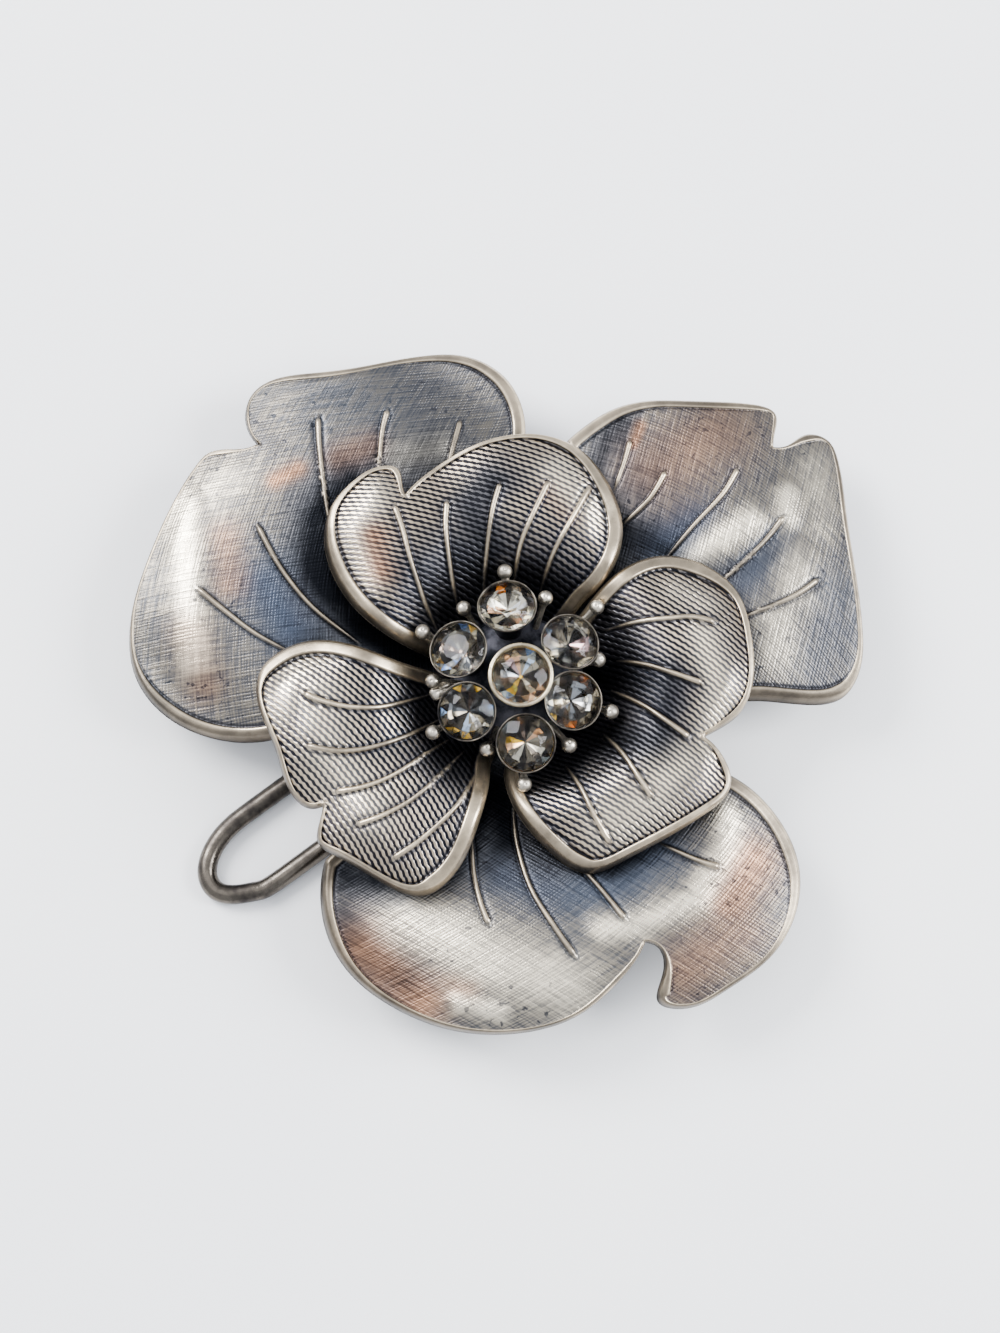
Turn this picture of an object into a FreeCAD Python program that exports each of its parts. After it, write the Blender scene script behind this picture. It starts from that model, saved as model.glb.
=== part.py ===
import FreeCAD, Part
import Sketcher
import math
import os

# Layered flower hair pin on a wire fork.
# Frame: +X runs along the prongs from the loop to the tips, +Z out of the flower's face,
# z = 0 is the surface the pin rests on.  Lengths are in mm, angles in degrees.

doc = FreeCAD.newDocument("hair_pin")
V = FreeCAD.Vector
UP = V(0, 0, 1)

# ---------------------------------------------------------------- driving dimensions
DIMS = {
    # where the flower's axis stands in the frame
    "flower_x": -1.6, "flower_y": -1.7,
    # wire fork
    "wire_radius": 0.95, "leg_offset": 3.58, "fork_shift": 2.4,
    "leg_end": 9.5, "step_length": 1.0, "prong_radius": 0.85, "prong_length": 18.0,
    "loop_reach": 28.0,
    # saddle and back plate
    "saddle_length": 13.0, "saddle_half_width": 5.6, "saddle_web": 0.4,
    "plate_radius": 9.0, "plate_thickness": 0.8,
    # rivet
    "rivet_radius": 1.0, "rivet_hole_radius": 1.05, "rivet_length": 8.0,
    # petals: sheet metal, raised rim, raised veins
    "petal_thickness": 0.9, "rim_raise": 0.35, "rim_width": 1.2, "vein_radius": 0.36,
    "vein_lift": 0.05, "vein_taper": 0.35, "petal_middle": 14.0,
    # outer layer heights (underside), crest and roll-off
    "outer_root": 3.1, "outer_flat": 6.0, "outer_full": 24.0, "outer_rise": 4.6,
    "outer_crest": 26.0, "outer_end": 38.0, "outer_droop": 2.6, "outer_half_width": 17.0,
    "outer_curl": 1.5, "outer_valley": 0.0, "valley_width": 4.0,
    # inner layer heights (underside), crest and roll-off
    "inner_root": 4.0, "inner_flat": 5.0, "inner_full": 15.0, "inner_rise": 7.2,
    "inner_crest": 17.0, "inner_end": 24.0, "inner_droop": 1.6, "inner_half_width": 13.0,
    "inner_curl": 1.8, "inner_valley": 0.9,
    # petal axis directions
    "upper_left_angle": 107.0, "upper_right_angle": -2.0, "lower_angle": -109.0,
    "top_angle": 75.0, "left_angle": 177.0, "right_angle": -55.0,
    # cluster base (heights above its own foot)
    "base_foot_radius": 3.4, "base_rim_radius": 6.4, "base_rim_height": 2.0,
    "base_shoulder_radius": 6.0, "base_shoulder_height": 2.7, "boss_radius": 2.2,
    "boss_foot_height": 3.5, "base_height": 5.4, "pad_radius": 1.4, "pad_length": 2.3,
    # stone cups and stones
    "cup_foot_radius": 1.4, "cup_lip_radius": 2.87, "cup_depth": 2.4, "cup_lip_height": 2.62,
    "cup_bore_radius": 2.66, "cup_seat_height": 0.3, "cup_seat_radius": 0.6,
    "stone_radius": 2.65, "stone_table_radius": 1.6, "stone_crown": 0.95, "stone_girdle": 0.24,
    "stone_pavilion": 2.0, "stone_culet_radius": 0.45,
    "ring_tilt": 17.0, "ring_girdle_height": 11.6,
    # centre bezel
    "bezel_foot_radius": 2.0, "bezel_lip_radius": 3.1, "bezel_lip_height": 2.75,
    "centre_foot_height": 10.3,
    # stamens
    "post_radius": 0.3, "bead_radius": 0.73, "post_start_radius": 4.6, "post_start_height": 7.0,
}

sheet = doc.addObject("Spreadsheet::Sheet", "Dims")
for row, (alias, value) in enumerate(DIMS.items(), start=1):
    sheet.set("A%d" % row, alias)
    sheet.set("B%d" % row, str(value))
    sheet.setAlias("B%d" % row, alias)
doc.recompute()
D = DIMS


def bind(obj, **pairs):
    """Drive properties of obj from the sheet; double underscores stand for dots."""
    for prop, expression in pairs.items():
        obj.setExpression(prop.replace("__", "."), expression)


def dims(expression):
    """Short form: 'a + b' of aliases becomes 'Dims.a + Dims.b'."""
    words = expression.split(" ")
    return " ".join("Dims." + w if w in D else w for w in words)


def add(kind, name, **pairs):
    obj = doc.addObject(kind, name)
    bind(obj, **{prop: dims(text) for prop, text in pairs.items()})
    return obj


def place(obj, position, rotation=None):
    obj.Placement = FreeCAD.Placement(position, rotation or FreeCAD.Rotation())


# ---------------------------------------------------------------- bodies and sketches
def plane_of(body, role):
    return [f for f in body.Origin.OriginFeatures if f.Role == role][0]


def sketch_on(body, role, name):
    sketch = body.newObject("Sketcher::SketchObject", name)
    sketch.AttachmentSupport = [(plane_of(body, role), "")]
    sketch.MapMode = "FlatFace"
    return sketch


def constrain(sketch, kind, *args):
    return sketch.addConstraint(Sketcher.Constraint(kind, *args))


def driven_corner(sketch, geo, corner):
    """Hold the start of line geo at a corner given as two aliases (or 0)."""
    for kind, axis, alias in (("DistanceX", -2, corner[0]), ("DistanceY", -1, corner[1])):
        if alias == 0:
            constrain(sketch, "PointOnObject", geo, 1, axis)
        else:
            index = constrain(sketch, kind, -1, 1, geo, 1, float(D[alias]))
            sketch.setExpression("Constraints[%d]" % index, "Dims." + alias)


def driven_polygon(sketch, corners):
    def value(c):
        return 0.0 if c == 0 else float(D[c])
    pts = [V(value(a), value(b), 0) for a, b in corners]
    for i, p in enumerate(pts):
        sketch.addGeometry(Part.LineSegment(p, pts[(i + 1) % len(pts)]), False)
    for i in range(len(pts)):
        constrain(sketch, "Coincident", i, 2, (i + 1) % len(pts), 1)
    for i, corner in enumerate(corners):
        driven_corner(sketch, i, corner)


def turned(name, corners):
    """A body turned about its own Z from corners given as (radius, height) aliases."""
    body = doc.addObject("PartDesign::Body", name)
    sketch = sketch_on(body, "XZ_Plane", name + "_profile")
    driven_polygon(sketch, corners)
    turn = body.newObject("PartDesign::Revolution", name + "_turn")
    turn.Profile = sketch
    turn.ReferenceAxis = (sketch, ["V_Axis"])
    turn.Angle = 360.0
    sketch.Visibility = False
    body.Tip = turn
    return body


# ---------------------------------------------------------------- petals
COLUMN_HEIGHT = 25.0        # taller than any petal, so that a column cuts right through it


def smooth(t):
    t = min(1.0, max(0.0, t))
    return t * t * (3 - 2 * t)


def petal_height(layer, u, v):
    """Underside height of a petal at u along its axis and v across it."""
    def dim(word):
        return D["%s_%s" % (layer, word)]
    radius = math.hypot(u, v)
    lift = smooth((radius - dim("flat")) / (dim("full") - dim("flat")))
    end = max(0.0, (u - dim("crest")) / (dim("end") - dim("crest")))
    side = min(1.6, (abs(v) / dim("half_width")) ** 3)
    valley = math.exp(-(v / D["valley_width"]) ** 2)
    return (dim("root") + dim("rise") * lift - dim("droop") * end ** 2
            - dim("curl") * side * lift - dim("valley") * valley * lift)


def height_face(layer):
    """Underside face over a grid that is wider than any petal."""
    step, u_start, u_count, v_reach = 2.0, -4.0, 24, 28.0
    u_list = [u_start + step * i for i in range(u_count)]
    v_list = [-v_reach + step * j for j in range(int(2 * v_reach / step) + 1)]
    grid = [[V(u, v, petal_height(layer, u, v)) for v in v_list] for u in u_list]
    surface = Part.BSplineSurface()
    surface.interpolate(grid)
    return surface.toShape()


def inset(points, width):
    """Move a run of outline points inwards (towards the petal's middle)."""
    moved = []
    for i, (u, v) in enumerate(points):
        u0, v0 = points[max(0, i - 1)]
        u1, v1 = points[min(len(points) - 1, i + 1)]
        du, dv = u1 - u0, v1 - v0
        length = math.hypot(du, dv)
        nu, nv = -dv / length, du / length
        if nu * (D["petal_middle"] - u) - nv * v < 0:
            nu, nv = -nu, -nv
        moved.append((u + nu * width, v + nv * width))
    return moved


def spline_through(points):
    curve = Part.BSplineCurve()
    curve.interpolate([V(u, v, 0) for u, v in points])
    return curve


def outline_sketch(name, right, left, root):
    """Closed outline: root corners, then the right lobe edge to the notch, then the left."""
    sketch = doc.addObject("Sketcher::SketchObject", name)
    first = V(right[0][0], right[0][1], 0)
    last = V(left[-1][0], left[-1][1], 0)
    corners = [last] + [V(u, v, 0) for u, v in root] + [first]
    for a, b in zip(corners[:-1], corners[1:]):
        sketch.addGeometry(Part.LineSegment(a, b), False)
    sketch.addGeometry(spline_through(right), False)
    sketch.addGeometry(spline_through(left), False)
    return sketch


def vein_solid(layer, path):
    """Rounded tapering rib that follows the petal's upper face along a path."""
    curve = spline_through(path)
    first, last = curve.FirstParameter, curve.LastParameter
    nudge = 0.01 * (last - first)
    stations, sides = 6, 8

    def on_face(point):
        top = petal_height(layer, point.x, point.y) + D["petal_thickness"] + D["vein_lift"]
        return V(point.x, point.y, top)

    rings = []
    for i in range(stations):
        t = first + (last - first) * i / (stations - 1)
        here = on_face(curve.value(t))
        ahead = on_face(curve.value(min(last, t + nudge)))
        behind = on_face(curve.value(max(first, t - nudge)))
        forward = (ahead - behind).normalize()
        across = UP.cross(forward).normalize()
        lift = forward.cross(across)
        radius = D["vein_radius"] * (1.0 - D["vein_taper"] * i / (stations - 1))
        ring = []
        for k in range(sides):
            angle = 2 * math.pi * (k + 0.5) / sides
            ring.append(here + across * (radius * math.cos(angle)) + lift * (radius * math.sin(angle)))
        rings.append(Part.makePolygon(ring + ring[:1]))
    return Part.makeLoft(rings, True)


def make_petal(label, layer, angle, right, left, root, veins):
    turn = {"Placement__Rotation__Angle": angle,
            "Placement__Base__x": "flower_x", "Placement__Base__y": "flower_y"}
    face = add("Part::Feature", label + "_face")
    face.Shape = height_face(layer)
    outline = outline_sketch(label + "_outline", right, left, root)
    notch = (right[-1][0] - 1.3 * D["rim_width"], right[-1][1])
    pocket_right = inset(right, D["rim_width"])[:-1] + [notch]
    pocket_left = [notch] + inset(left, D["rim_width"])[1:]
    pocket_root = [(-2.0, left[-1][1] * 0.8), (-2.0, right[0][1] * 0.8)]
    pocket = outline_sketch(label + "_field", pocket_right, pocket_left, pocket_root)
    ribs = []
    for number, path in enumerate(veins, start=1):
        rib = add("Part::Feature", "%s_rib_%d" % (label, number))
        rib.Shape = vein_solid(layer, path)
        ribs.append(rib)
    for obj in [face, outline, pocket] + ribs:
        obj.Placement = FreeCAD.Placement(V(0, 0, 0), FreeCAD.Rotation(UP, 1.0))
        bind(obj, **{prop: "Dims." + alias for prop, alias in turn.items()})

    slab = add("Part::Extrusion", label + "_slab", LengthFwd="petal_thickness + rim_raise")
    slab.Base = face
    slab.Dir = UP
    slab.Solid = True
    column = add("Part::Extrusion", label + "_column")
    column.Base = outline
    column.Dir = UP
    column.LengthFwd = COLUMN_HEIGHT
    column.Solid = True
    blank = add("Part::Common", label + "_blank")
    blank.Base = slab
    blank.Tool = column

    top_face = add("Part::Extrusion", label + "_over", LengthFwd="rim_raise * 3")
    top_face.Base = face
    top_face.Dir = UP
    top_face.Solid = True
    lifted = add("Part::Compound", label + "_lifted", Placement__Base__z="petal_thickness")
    lifted.Links = [top_face]
    field = add("Part::Extrusion", label + "_field_column")
    field.Base = pocket
    field.Dir = UP
    field.LengthFwd = COLUMN_HEIGHT
    field.Solid = True
    recess = add("Part::Common", label + "_recess")
    recess.Base = lifted
    recess.Tool = field
    dished = add("Part::Cut", label + "_dished")
    dished.Base = blank
    dished.Tool = recess
    petal = dished
    for rib in ribs:
        joined = add("Part::Fuse", label if rib is ribs[-1] else rib.Name + "_joined")
        joined.Base = petal
        joined.Tool = rib
        petal = joined
    return petal


petals = []

petals.append(make_petal(
    "outer_petal_upper_left", "outer", "upper_left_angle",
    right=[(14, -20.5), (17.5, -23.5), (20.5, -24.2), (24, -23.2), (28.5, -19.4), (31, -16.4),
           (34, -13.5), (36.6, -11.3), (38, -9.3), (38, -6.6), (36.5, -4.8), (34.3, -3.9)],
    left=[(34.3, -3.9), (35, -2.9), (36.8, -1.7), (38, -0.5), (38.2, 1), (37.5, 6.5),
          (35.8, 12.6), (33.7, 17.6), (30.2, 21.3), (25.8, 22.7), (20.7, 21.9), (15.7, 18.7)],
    root=[(1.3, 2.2), (1.3, -1.9)],
    veins=[[(31, -9.4), (28.7, -6.7), (24.4, -2.3)],
           [(26, -14), (24.7, -11.3), (21.5, -6.5)],
           [(19.8, -17.6), (18.2, -13.9), (16.5, -10)],
           [(29.1, 2.8), (24.6, 4.9), (19.8, 6.1), (14.5, 6.1)],
           [(29.9, 11.2), (26.2, 11.4), (22.5, 11.4), (18.5, 10.8)]]))

petals.append(make_petal(
    "outer_petal_upper_right", "outer", "upper_right_angle",
    right=[(17.2, -14.4), (21.6, -17.7), (25.2, -19.1), (27.7, -18), (30.3, -14.8), (33.4, -9.2),
           (36, -4.4), (38.7, 0.4), (39.1, 2.8), (37.4, 4.3), (35.5, 4.2), (33.8, 4.8)],
    left=[(33.8, 4.8), (34.8, 5.9), (36.2, 7.5), (34.2, 10.1), (31.8, 11.8), (29, 13.8),
          (26.3, 15.7), (23.3, 16.9), (20.2, 17.1), (17.5, 16.8)],
    root=[(1.3, 2.0), (1.3, -1.7)],
    veins=[[(22.5, 13.1), (20.7, 11.6), (18.5, 10)],
           [(23.4, 8.5), (20.6, 7.2), (16.9, 6.7)],
           [(29.4, 4.8), (26.6, 3.5), (22.6, 2.6), (18.5, 1.5)],
           [(30.2, -1.7), (26.8, -2.7), (21, -3.6)],
           [(29.3, -8.6), (26.1, -8.6), (20.5, -7.4)]]))

petals.append(make_petal(
    "outer_petal_lower", "outer", "lower_angle",
    right=[(11, -22.7), (14.5, -24.2), (18.5, -24.5), (22.3, -23.4), (26.2, -20.6), (29.8, -16.3),
           (32.2, -10.2), (32.3, -4), (30.9, -0.4), (29, 2.6), (27.8, 3.8)],
    left=[(27.8, 3.8), (28.8, 4.9), (30.8, 4.6), (33.4, 3.2), (34.6, 5), (34.2, 10),
          (32.7, 14.5), (29.7, 18.1), (25.5, 20.1), (20.4, 19.8), (15.2, 16.8)],
    root=[(1.3, 1.6), (1.3, -2.5)],
    veins=[[(21.8, -9.7), (19.3, -9.8), (16.3, -9.5), (13, -8.6)],
           [(27.2, -2.9), (23.6, -4), (19.6, -4.9), (15.1, -4.8), (11.5, -4)],
           [(25.2, 2.6), (22.2, 1.5), (18.5, 0)],
           [(23.2, 12.6), (21.8, 10.7), (19.5, 8.2)]]))

petals.append(make_petal(
    "inner_petal_top", "inner", "top_angle",
    right=[(4.5, -8.7), (6.2, -12.4), (9.6, -14.8), (13.7, -15.3), (18.3, -13.9), (20.8, -11.1),
           (22.1, -7), (22, -1.7), (20.8, 2.2), (20, 3.6)],
    left=[(20, 3.6), (21.3, 3.4), (22.9, 3.2), (23.8, 4.9), (23.4, 7.6), (21.5, 10.9),
          (18.3, 12.6), (13.6, 12.6), (9.3, 11), (6.4, 8.5)],
    root=[(1.3, 1.7), (1.3, -2.2)],
    veins=[[(19.2, 5), (16.7, 5.1), (13.4, 5.5), (9.8, 5.6), (7.5, 5.4)],
           [(17.9, 0.1), (15.4, 1.2), (12, 2.1), (8.8, 2.7)],
           [(17.5, -5.2), (15.4, -3.6), (12.5, -1.9), (9.2, -0.2)],
           [(16.1, -9.7), (13.5, -7), (11.3, -4.8), (8.8, -3.2)],
           [(14.3, -13.3), (12.2, -10.8), (9.4, -7.4), (7.3, -5.4)]]))

petals.append(make_petal(
    "inner_petal_left", "inner", "left_angle",
    right=[(7.9, -6.6), (10.4, -9.3), (13.6, -12.9), (17.3, -14.4), (20.8, -13.4), (22.2, -10.8),
           (23.1, -6.4), (24.1, -2.2), (23.6, -0.3), (22.3, 0.5)],
    left=[(22.3, 0.5), (23.2, 1.4), (24.5, 2.8), (23.6, 5.5), (21.4, 10), (19, 12.8),
          (15.7, 12.8), (11.4, 10.4), (8.1, 7.4), (6.7, 5.5)],
    root=[(1.3, 1.05), (1.3, -1.05)],
    veins=[[(18, -9.2), (16.9, -7.5), (14.9, -5.5), (12.2, -4), (7.8, -3.4)],
           [(20.6, -4.9), (18.5, -2.9), (15.5, -1.4), (12.2, -0.7), (8.3, -0.9)],
           [(20.7, 0.2), (18, 1.4), (14.2, 2), (8.8, 1.3)],
           [(20.7, 4), (18, 4.7), (13.7, 4.8), (8.2, 3.1)],
           [(19.7, 8.6), (16.2, 8.5), (11.7, 7.6), (7.8, 5.3)]]))

petals.append(make_petal(
    "inner_petal_right", "inner", "right_angle",
    right=[(1.6, -8.9), (4.5, -12.9), (8.3, -15.1), (12.3, -15.9), (14.9, -14), (18, -10.9),
           (21.2, -7.1), (22.5, -4), (21, -1.6), (18.7, -0.4)],
    left=[(18.7, -0.4), (19.8, 0.8), (21.2, 2.8), (21.5, 6.1), (19.9, 10.6), (17.3, 14.5),
          (13.6, 16), (9.4, 15.5), (6.3, 12.7), (4.3, 9.2)],
    root=[(1.3, 2.4), (1.3, -5.0)],
    veins=[[(16.4, 10.3), (14.1, 10.1), (11.8, 9.2), (9.1, 8.1), (6.8, 7.1)],
           [(17, 4.2), (14.1, 4.3), (11.1, 4.5), (8.6, 4.5)],
           [(17.4, -1), (14.7, -0.1), (11.9, 0.9), (9.1, 1.7)],
           [(15.8, -7.7), (14.1, -6.3), (11.7, -4.2), (9.7, -2.8)],
           [(13.5, -12.9), (11.3, -11), (9.3, -8.8), (7.2, -6.8)]]))

# ---------------------------------------------------------------- fork, saddle and plate
fork_y = D["flower_y"] + D["fork_shift"]
bend_x = D["flower_x"] - D["loop_reach"]
leg_right = fork_y + D["leg_offset"]
leg_left = fork_y - D["leg_offset"]
leg_end = D["flower_x"] + D["leg_end"]

fork_wire = doc.addObject("PartDesign::Body", "fork_wire")
bind(fork_wire, Placement__Base__z="Dims.wire_radius")
path = sketch_on(fork_wire, "XY_Plane", "fork_path")
path.addGeometry(Part.LineSegment(V(leg_end, leg_right, 0), V(bend_x, leg_right, 0)), False)
bend = Part.BSplineCurve()
bend.interpolate(
    Points=[V(bend_x, leg_right, 0), V(bend_x - 3.2, leg_right - 0.3, 0),
            V(bend_x - 5.5, leg_right - 1.3, 0), V(bend_x - 6.9, leg_right - 2.9, 0),
            V(bend_x - 7.0, leg_right - 4.3, 0), V(bend_x - 6.0, leg_right - 5.6, 0),
            V(bend_x - 4.2, leg_right - 6.6, 0), V(bend_x, leg_left, 0)],
    InitialTangent=V(-1, 0, 0), FinalTangent=V(1, 0, 0))
path.addGeometry(bend, False)
path.addGeometry(Part.LineSegment(V(bend_x, leg_left, 0), V(leg_end, leg_left, 0)), False)
for first, second in ((0, 1), (1, 2)):
    constrain(path, "Coincident", first, 2, second, 1)
section = sketch_on(fork_wire, "YZ_Plane", "fork_section")
section.AttachmentOffset = FreeCAD.Placement(V(leg_right, 0, leg_end), FreeCAD.Rotation())
section.addGeometry(Part.Circle(V(0, 0, 0), UP, D["wire_radius"]), False)
constrain(section, "Coincident", 0, 3, -1, 1)
radius_rule = constrain(section, "Radius", 0, D["wire_radius"])
section.setExpression("Constraints[%d]" % radius_rule, "Dims.wire_radius")
pipe = fork_wire.newObject("PartDesign::AdditivePipe", "fork_pipe")
pipe.Profile = section
pipe.Spine = (path, [])
fork_wire.Tip = pipe

fork_pieces = [fork_wire]
for side, sign in (("right", "+"), ("left", "-")):
    y_rule = "Dims.flower_y + Dims.fork_shift %s Dims.leg_offset" % sign
    steps = (("Part::Cone", "shoulder", "Dims.flower_x + Dims.leg_end"),
             ("Part::Cylinder", "prong", "Dims.flower_x + Dims.leg_end + Dims.step_length"),
             ("Part::Sphere", "tip",
              "Dims.flower_x + Dims.leg_end + Dims.step_length + Dims.prong_length"))
    for kind, word, x_rule in steps:
        piece = doc.addObject(kind, "%s_%s" % (side, word))
        piece.Placement = FreeCAD.Placement(V(0, 0, 0), FreeCAD.Rotation(V(0, 1, 0), 90))
        bind(piece, Placement__Base__x=x_rule, Placement__Base__y=y_rule,
             Placement__Base__z="Dims.wire_radius")
        if word == "shoulder":
            bind(piece, Radius1="Dims.wire_radius", Radius2="Dims.prong_radius",
                 Height="Dims.step_length")
        elif word == "prong":
            bind(piece, Radius="Dims.prong_radius", Height="Dims.prong_length")
        else:
            bind(piece, Radius="Dims.prong_radius")
        fork_pieces.append(piece)
hair_fork = add("Part::MultiFuse", "hair_fork")
hair_fork.Shapes = fork_pieces

saddle = doc.addObject("PartDesign::Body", "fork_saddle")
saddle.Placement = FreeCAD.Placement(V(D["flower_x"], fork_y, D["wire_radius"]), FreeCAD.Rotation())
bind(saddle, Placement__Base__x="Dims.flower_x", Placement__Base__y="Dims.flower_y + Dims.fork_shift",
     Placement__Base__z="Dims.wire_radius")
saddle_profile = sketch_on(saddle, "YZ_Plane", "saddle_profile")
reach, half, wire = D["saddle_half_width"], D["leg_offset"], D["wire_radius"]
top = wire + D["saddle_web"]
flat = [V(-reach, 0, 0), V(-reach, top, 0), V(reach, top, 0), V(reach, 0, 0),
        V(half + wire, 0, 0)]
for a, b in zip(flat[:-1], flat[1:]):
    saddle_profile.addGeometry(Part.LineSegment(a, b), False)
for centre in (half, -half):
    groove = Part.Circle(V(centre, 0, 0), UP, wire)
    saddle_profile.addGeometry(Part.ArcOfCircle(groove, 0, math.pi), False)
    if centre > 0:
        saddle_profile.addGeometry(Part.LineSegment(V(half - wire, 0, 0), V(wire - half, 0, 0)), False)
saddle_profile.addGeometry(Part.LineSegment(V(-half - wire, 0, 0), V(-reach, 0, 0)), False)
saddle_pad = saddle.newObject("PartDesign::Pad", "saddle_pad")
saddle_pad.Profile = saddle_profile
saddle_pad.Midplane = True
bind(saddle_pad, Length="Dims.saddle_length")
saddle.Tip = saddle_pad

plate = doc.addObject("PartDesign::Body", "back_plate")
plate.Placement = FreeCAD.Placement(V(0, 0, 0), FreeCAD.Rotation())
bind(plate, Placement__Base__x="Dims.flower_x", Placement__Base__y="Dims.flower_y",
     Placement__Base__z="2 * Dims.wire_radius + Dims.saddle_web")
plate_rings = sketch_on(plate, "XY_Plane", "plate_rings")
for index, alias in enumerate(("plate_radius", "rivet_hole_radius")):
    plate_rings.addGeometry(Part.Circle(V(0, 0, 0), UP, D[alias]), False)
    constrain(plate_rings, "Coincident", index, 3, -1, 1)
    rule = constrain(plate_rings, "Radius", index, D[alias])
    plate_rings.setExpression("Constraints[%d]" % rule, "Dims." + alias)
plate_pad = plate.newObject("PartDesign::Pad", "plate_pad")
plate_pad.Profile = plate_rings
bind(plate_pad, Length="Dims.plate_thickness")
plate.Tip = plate_pad

rivet = add("Part::Cylinder", "centre_rivet", Radius="rivet_radius", Height="rivet_length",
            Placement__Base__x="flower_x", Placement__Base__y="flower_y")
bind(rivet, Placement__Base__z="2 * Dims.wire_radius + Dims.saddle_web")

# ---------------------------------------------------------------- stone cluster
# Places of the six outer stones round the middle one: distance out and direction.
RING = [(6.2, 62), (6.25, 1.5), (6.05, -66), (7.1, -120), (6.2, -176), (5.85, 124)]
# Bead centres: distance from the flower's axis, direction and height; the post starts further in.
BEADS = [(10, 60, 9.7), (7.7, 33, 9.9), (10, 4, 9.7), (7.7, -27, 9.9), (9.6, -59, 9.7),
         (8.4, -91, 9.7), (10.6, -123, 9.7), (7.7, -148, 9.9), (9.7, 179, 9.7), (7.9, 149, 9.9),
         (9.8, 119, 9.7), (8, 92, 9.9)]


# The middle stone stands a little off the flower's axis.
CENTRE_SHIFT, CENTRE_DIRECTION = 0.3, -127


def flower_point(radius, direction, height):
    a = math.radians(direction)
    return V(D["flower_x"] + radius * math.cos(a), D["flower_y"] + radius * math.sin(a), height)


def stone_frame(radius, direction):
    """Girdle centre and outward-tilted axis of an outer stone."""
    a = math.radians(direction)
    tilt = math.radians(D["ring_tilt"])
    axis = V(math.sin(tilt) * math.cos(a), math.sin(tilt) * math.sin(a), math.cos(tilt))
    return flower_point(radius, direction, D["ring_girdle_height"]), axis


def facing(axis):
    return FreeCAD.Rotation(UP, axis)


def make_stone(label, foot, axis):
    """Sixteen-sided cut stone; foot is the point on its axis at the cup's foot."""
    sections = (("culet", "stone_culet_radius", "Dims.cup_depth - Dims.stone_pavilion"),
                ("low", "stone_radius", "Dims.cup_depth - Dims.stone_girdle / 2"),
                ("high", "stone_radius", "Dims.cup_depth + Dims.stone_girdle / 2"),
                ("table", "stone_table_radius", "Dims.cup_depth + Dims.stone_crown"))
    rings = []
    for word, alias, height in sections:
        ring = doc.addObject("Part::RegularPolygon", "%s_%s" % (label, word))
        ring.Polygon = 16
        bind(ring, Circumradius="Dims." + alias, Placement__Base__z=height)
        rings.append(ring)
    loft = doc.addObject("Part::Loft", label)
    loft.Sections = rings
    loft.Solid = True
    loft.Ruled = True
    place(loft, foot, facing(axis))
    return loft


base = turned("base_dome", [
    ("rivet_radius", 0), ("base_foot_radius", 0), ("base_rim_radius", "base_rim_height"),
    ("base_shoulder_radius", "base_shoulder_height"), ("boss_radius", "boss_foot_height"),
    ("boss_radius", "base_height"), ("rivet_radius", "base_height")])
bind(base, Placement__Base__x="Dims.flower_x", Placement__Base__y="Dims.flower_y",
     Placement__Base__z="Dims.inner_root + Dims.petal_thickness")

cups, stones, pads, posts, beads = [], [], [], [], []
cup_corners = [
    (0, 0), ("cup_foot_radius", 0), ("cup_lip_radius", "cup_depth"),
    ("cup_lip_radius", "cup_lip_height"), ("cup_bore_radius", "cup_lip_height"),
    ("cup_bore_radius", "cup_depth"), ("cup_seat_radius", "cup_seat_height"),
    (0, "cup_seat_height")]
for number, (radius, direction) in enumerate(RING, start=1):
    girdle, axis = stone_frame(radius, direction)
    foot = girdle - axis * D["cup_depth"]
    cup = turned("stone_cup_%d" % number, cup_corners)
    place(cup, foot, facing(axis))
    cups.append(cup)
    stones.append(make_stone("stone_%d" % number, foot, axis))
    pad = add("Part::Cylinder", "pad_%d" % number, Radius="pad_radius", Height="pad_length")
    place(pad, foot - axis * D["pad_length"], facing(axis))
    pads.append(pad)

centre_foot = flower_point(CENTRE_SHIFT, CENTRE_DIRECTION, D["centre_foot_height"])
bezel = turned("centre_bezel", [
    (0, 0), ("bezel_foot_radius", 0), ("bezel_lip_radius", "cup_depth"),
    ("bezel_lip_radius", "bezel_lip_height"), ("cup_bore_radius", "bezel_lip_height"),
    ("cup_bore_radius", "cup_depth"), ("cup_seat_radius", "cup_seat_height"),
    (0, "cup_seat_height")])
place(bezel, centre_foot)
stones.append(make_stone("stone_centre", centre_foot, UP))

for number, (radius, direction, height) in enumerate(BEADS, start=1):
    start = flower_point(D["post_start_radius"], direction, D["post_start_height"])
    bead_at = flower_point(radius, direction, height)
    reach = bead_at - start
    name = "stamen_%02d" % number
    rotation = facing(reach.normalize())
    post = add("Part::Cylinder", name + "_post", Radius="post_radius")
    post.Height = (bead_at - start).Length
    place(post, start, rotation)
    bead = add("Part::Sphere", name + "_bead", Radius="bead_radius")
    place(bead, bead_at, rotation)
    stamen = add("Part::MultiFuse", name)
    stamen.Shapes = [post, bead]
    posts.append(post)
    beads.append(stamen)

padded = add("Part::MultiFuse", "padded_base")
padded.Shapes = [base] + pads
post_holes = add("Part::MultiFuse", "post_holes")
post_holes.Shapes = posts
cluster_base = add("Part::Cut", "cluster_base")
cluster_base.Base = padded
cluster_base.Tool = post_holes

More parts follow.
